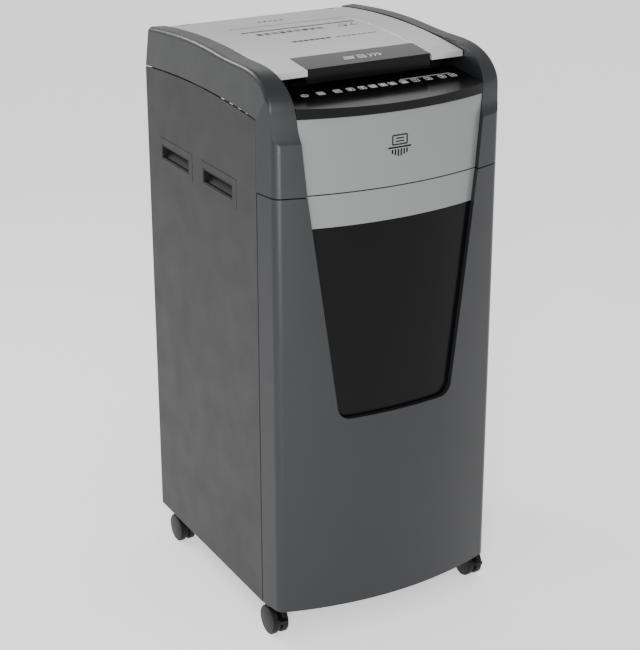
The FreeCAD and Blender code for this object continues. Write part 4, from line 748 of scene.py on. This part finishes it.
MIDDLE = (0.0, 0.0, 0.6)
HEAD = (-0.2, -0.2, 0.92)
LID = (0.0, 0.0, 1.0)
SOFTBOXES = (
    Softbox("corner", (-1.25, -0.95, 0.7), HEAD, (0.6, 0.4), 1.6),
    Softbox("front", (-1.0, -1.5, 0.55), HEAD, (0.4, 0.3), 8.0),
    Softbox("key", (-1.6, -2.6, 1.9), MIDDLE, (0.6, 1.4), 54.0),
    Softbox("side", (-0.95, 1.75, 1.95), HEAD, (0.6, 0.5), 18.0),
    Softbox("top", (0.6, 1.7, 2.15), LID, (1.6, 0.9), 4.0),
)


@dataclass
class Studio:
    """Floor, soft lights and the camera."""

    camera_at: Vector = field(default_factory=lambda: Vector((-1.4124, -2.4969, 1.6536)))
    heading: float = math.radians(29.546)
    tilt: float = math.radians(20.818)
    lens: float = 93.0462
    sensor: float = 36.0
    shift: tuple[float, float] = (-0.0092, -0.06)
    floor_half: float = 30.0
    floor_glow: float = 0.7
    daylight: float = 0.7

    def camera(self) -> bpy.types.Object:
        """Makes the camera, which looks down at the machine from its front left."""
        data = bpy.data.cameras.new("camera")
        data.lens = self.lens
        data.sensor_width = self.sensor
        data.shift_x, data.shift_y = self.shift
        camera = bpy.data.objects.new("camera", data)
        camera.location = self.camera_at
        camera.rotation_euler = (math.pi / 2 - self.tilt, 0.0, -self.heading)
        bpy.context.scene.collection.objects.link(camera)
        bpy.context.scene.camera = camera
        return camera

    def floor(self) -> bpy.types.Object:
        """Makes the plain pale floor."""
        mesh = bpy.data.meshes.new("floor")
        form = bmesh.new()
        bmesh.ops.create_grid(form, x_segments=1, y_segments=1, size=self.floor_half)
        form.to_mesh(mesh)
        form.free()
        floor = bpy.data.objects.new("floor", mesh)
        bpy.context.scene.collection.objects.link(floor)
        shader = Graph("floor_white").shader
        shader.inputs["Base Color"].default_value = FLOOR_PAINT
        shader.inputs["Roughness"].default_value = 0.8
        shader.inputs["Emission Color"].default_value = WHITE
        shader.inputs["Emission Strength"].default_value = self.floor_glow
        mesh.materials.append(bpy.data.materials["floor_white"])
        return floor

    def softbox(self, box: Softbox) -> bpy.types.Object:
        """Makes a rectangular area light that the camera doesn't see.

        Args:
            box: Its place, size and power.

        Returns:
            The light.
        """
        data = bpy.data.lights.new(box.name, "AREA")
        data.shape = "RECTANGLE"
        data.size, data.size_y = box.size
        data.energy = box.power
        light = bpy.data.objects.new(box.name, data)
        light.location = box.at
        aim = Vector(box.aim) - Vector(box.at)
        light.rotation_euler = aim.to_track_quat("-Z", "Y").to_euler()
        light.visible_camera = False
        bpy.context.scene.collection.objects.link(light)
        return light

    def light(self) -> None:
        """Makes the pale surroundings and the softboxes."""
        world = bpy.data.worlds.new("surroundings")
        world.use_nodes = True
        background = world.node_tree.nodes["Background"]
        background.inputs["Color"].default_value = WHITE
        background.inputs["Strength"].default_value = self.daylight
        bpy.context.scene.world = world
        for box in SOFTBOXES:
            self.softbox(box)


def main() -> None:
    """Builds the machine's looks and the studio round it."""
    logging.basicConfig(level=logging.INFO, format="%(message)s")
    WARDROBE.dress_nodes()
    PanelPrint().build()
    LidPrint().build()
    FasciaEmblem().build()
    WheelCaps().build()
    studio = Studio()
    studio.camera()
    studio.floor()
    studio.light()


if __name__ == "__main__":
    main()
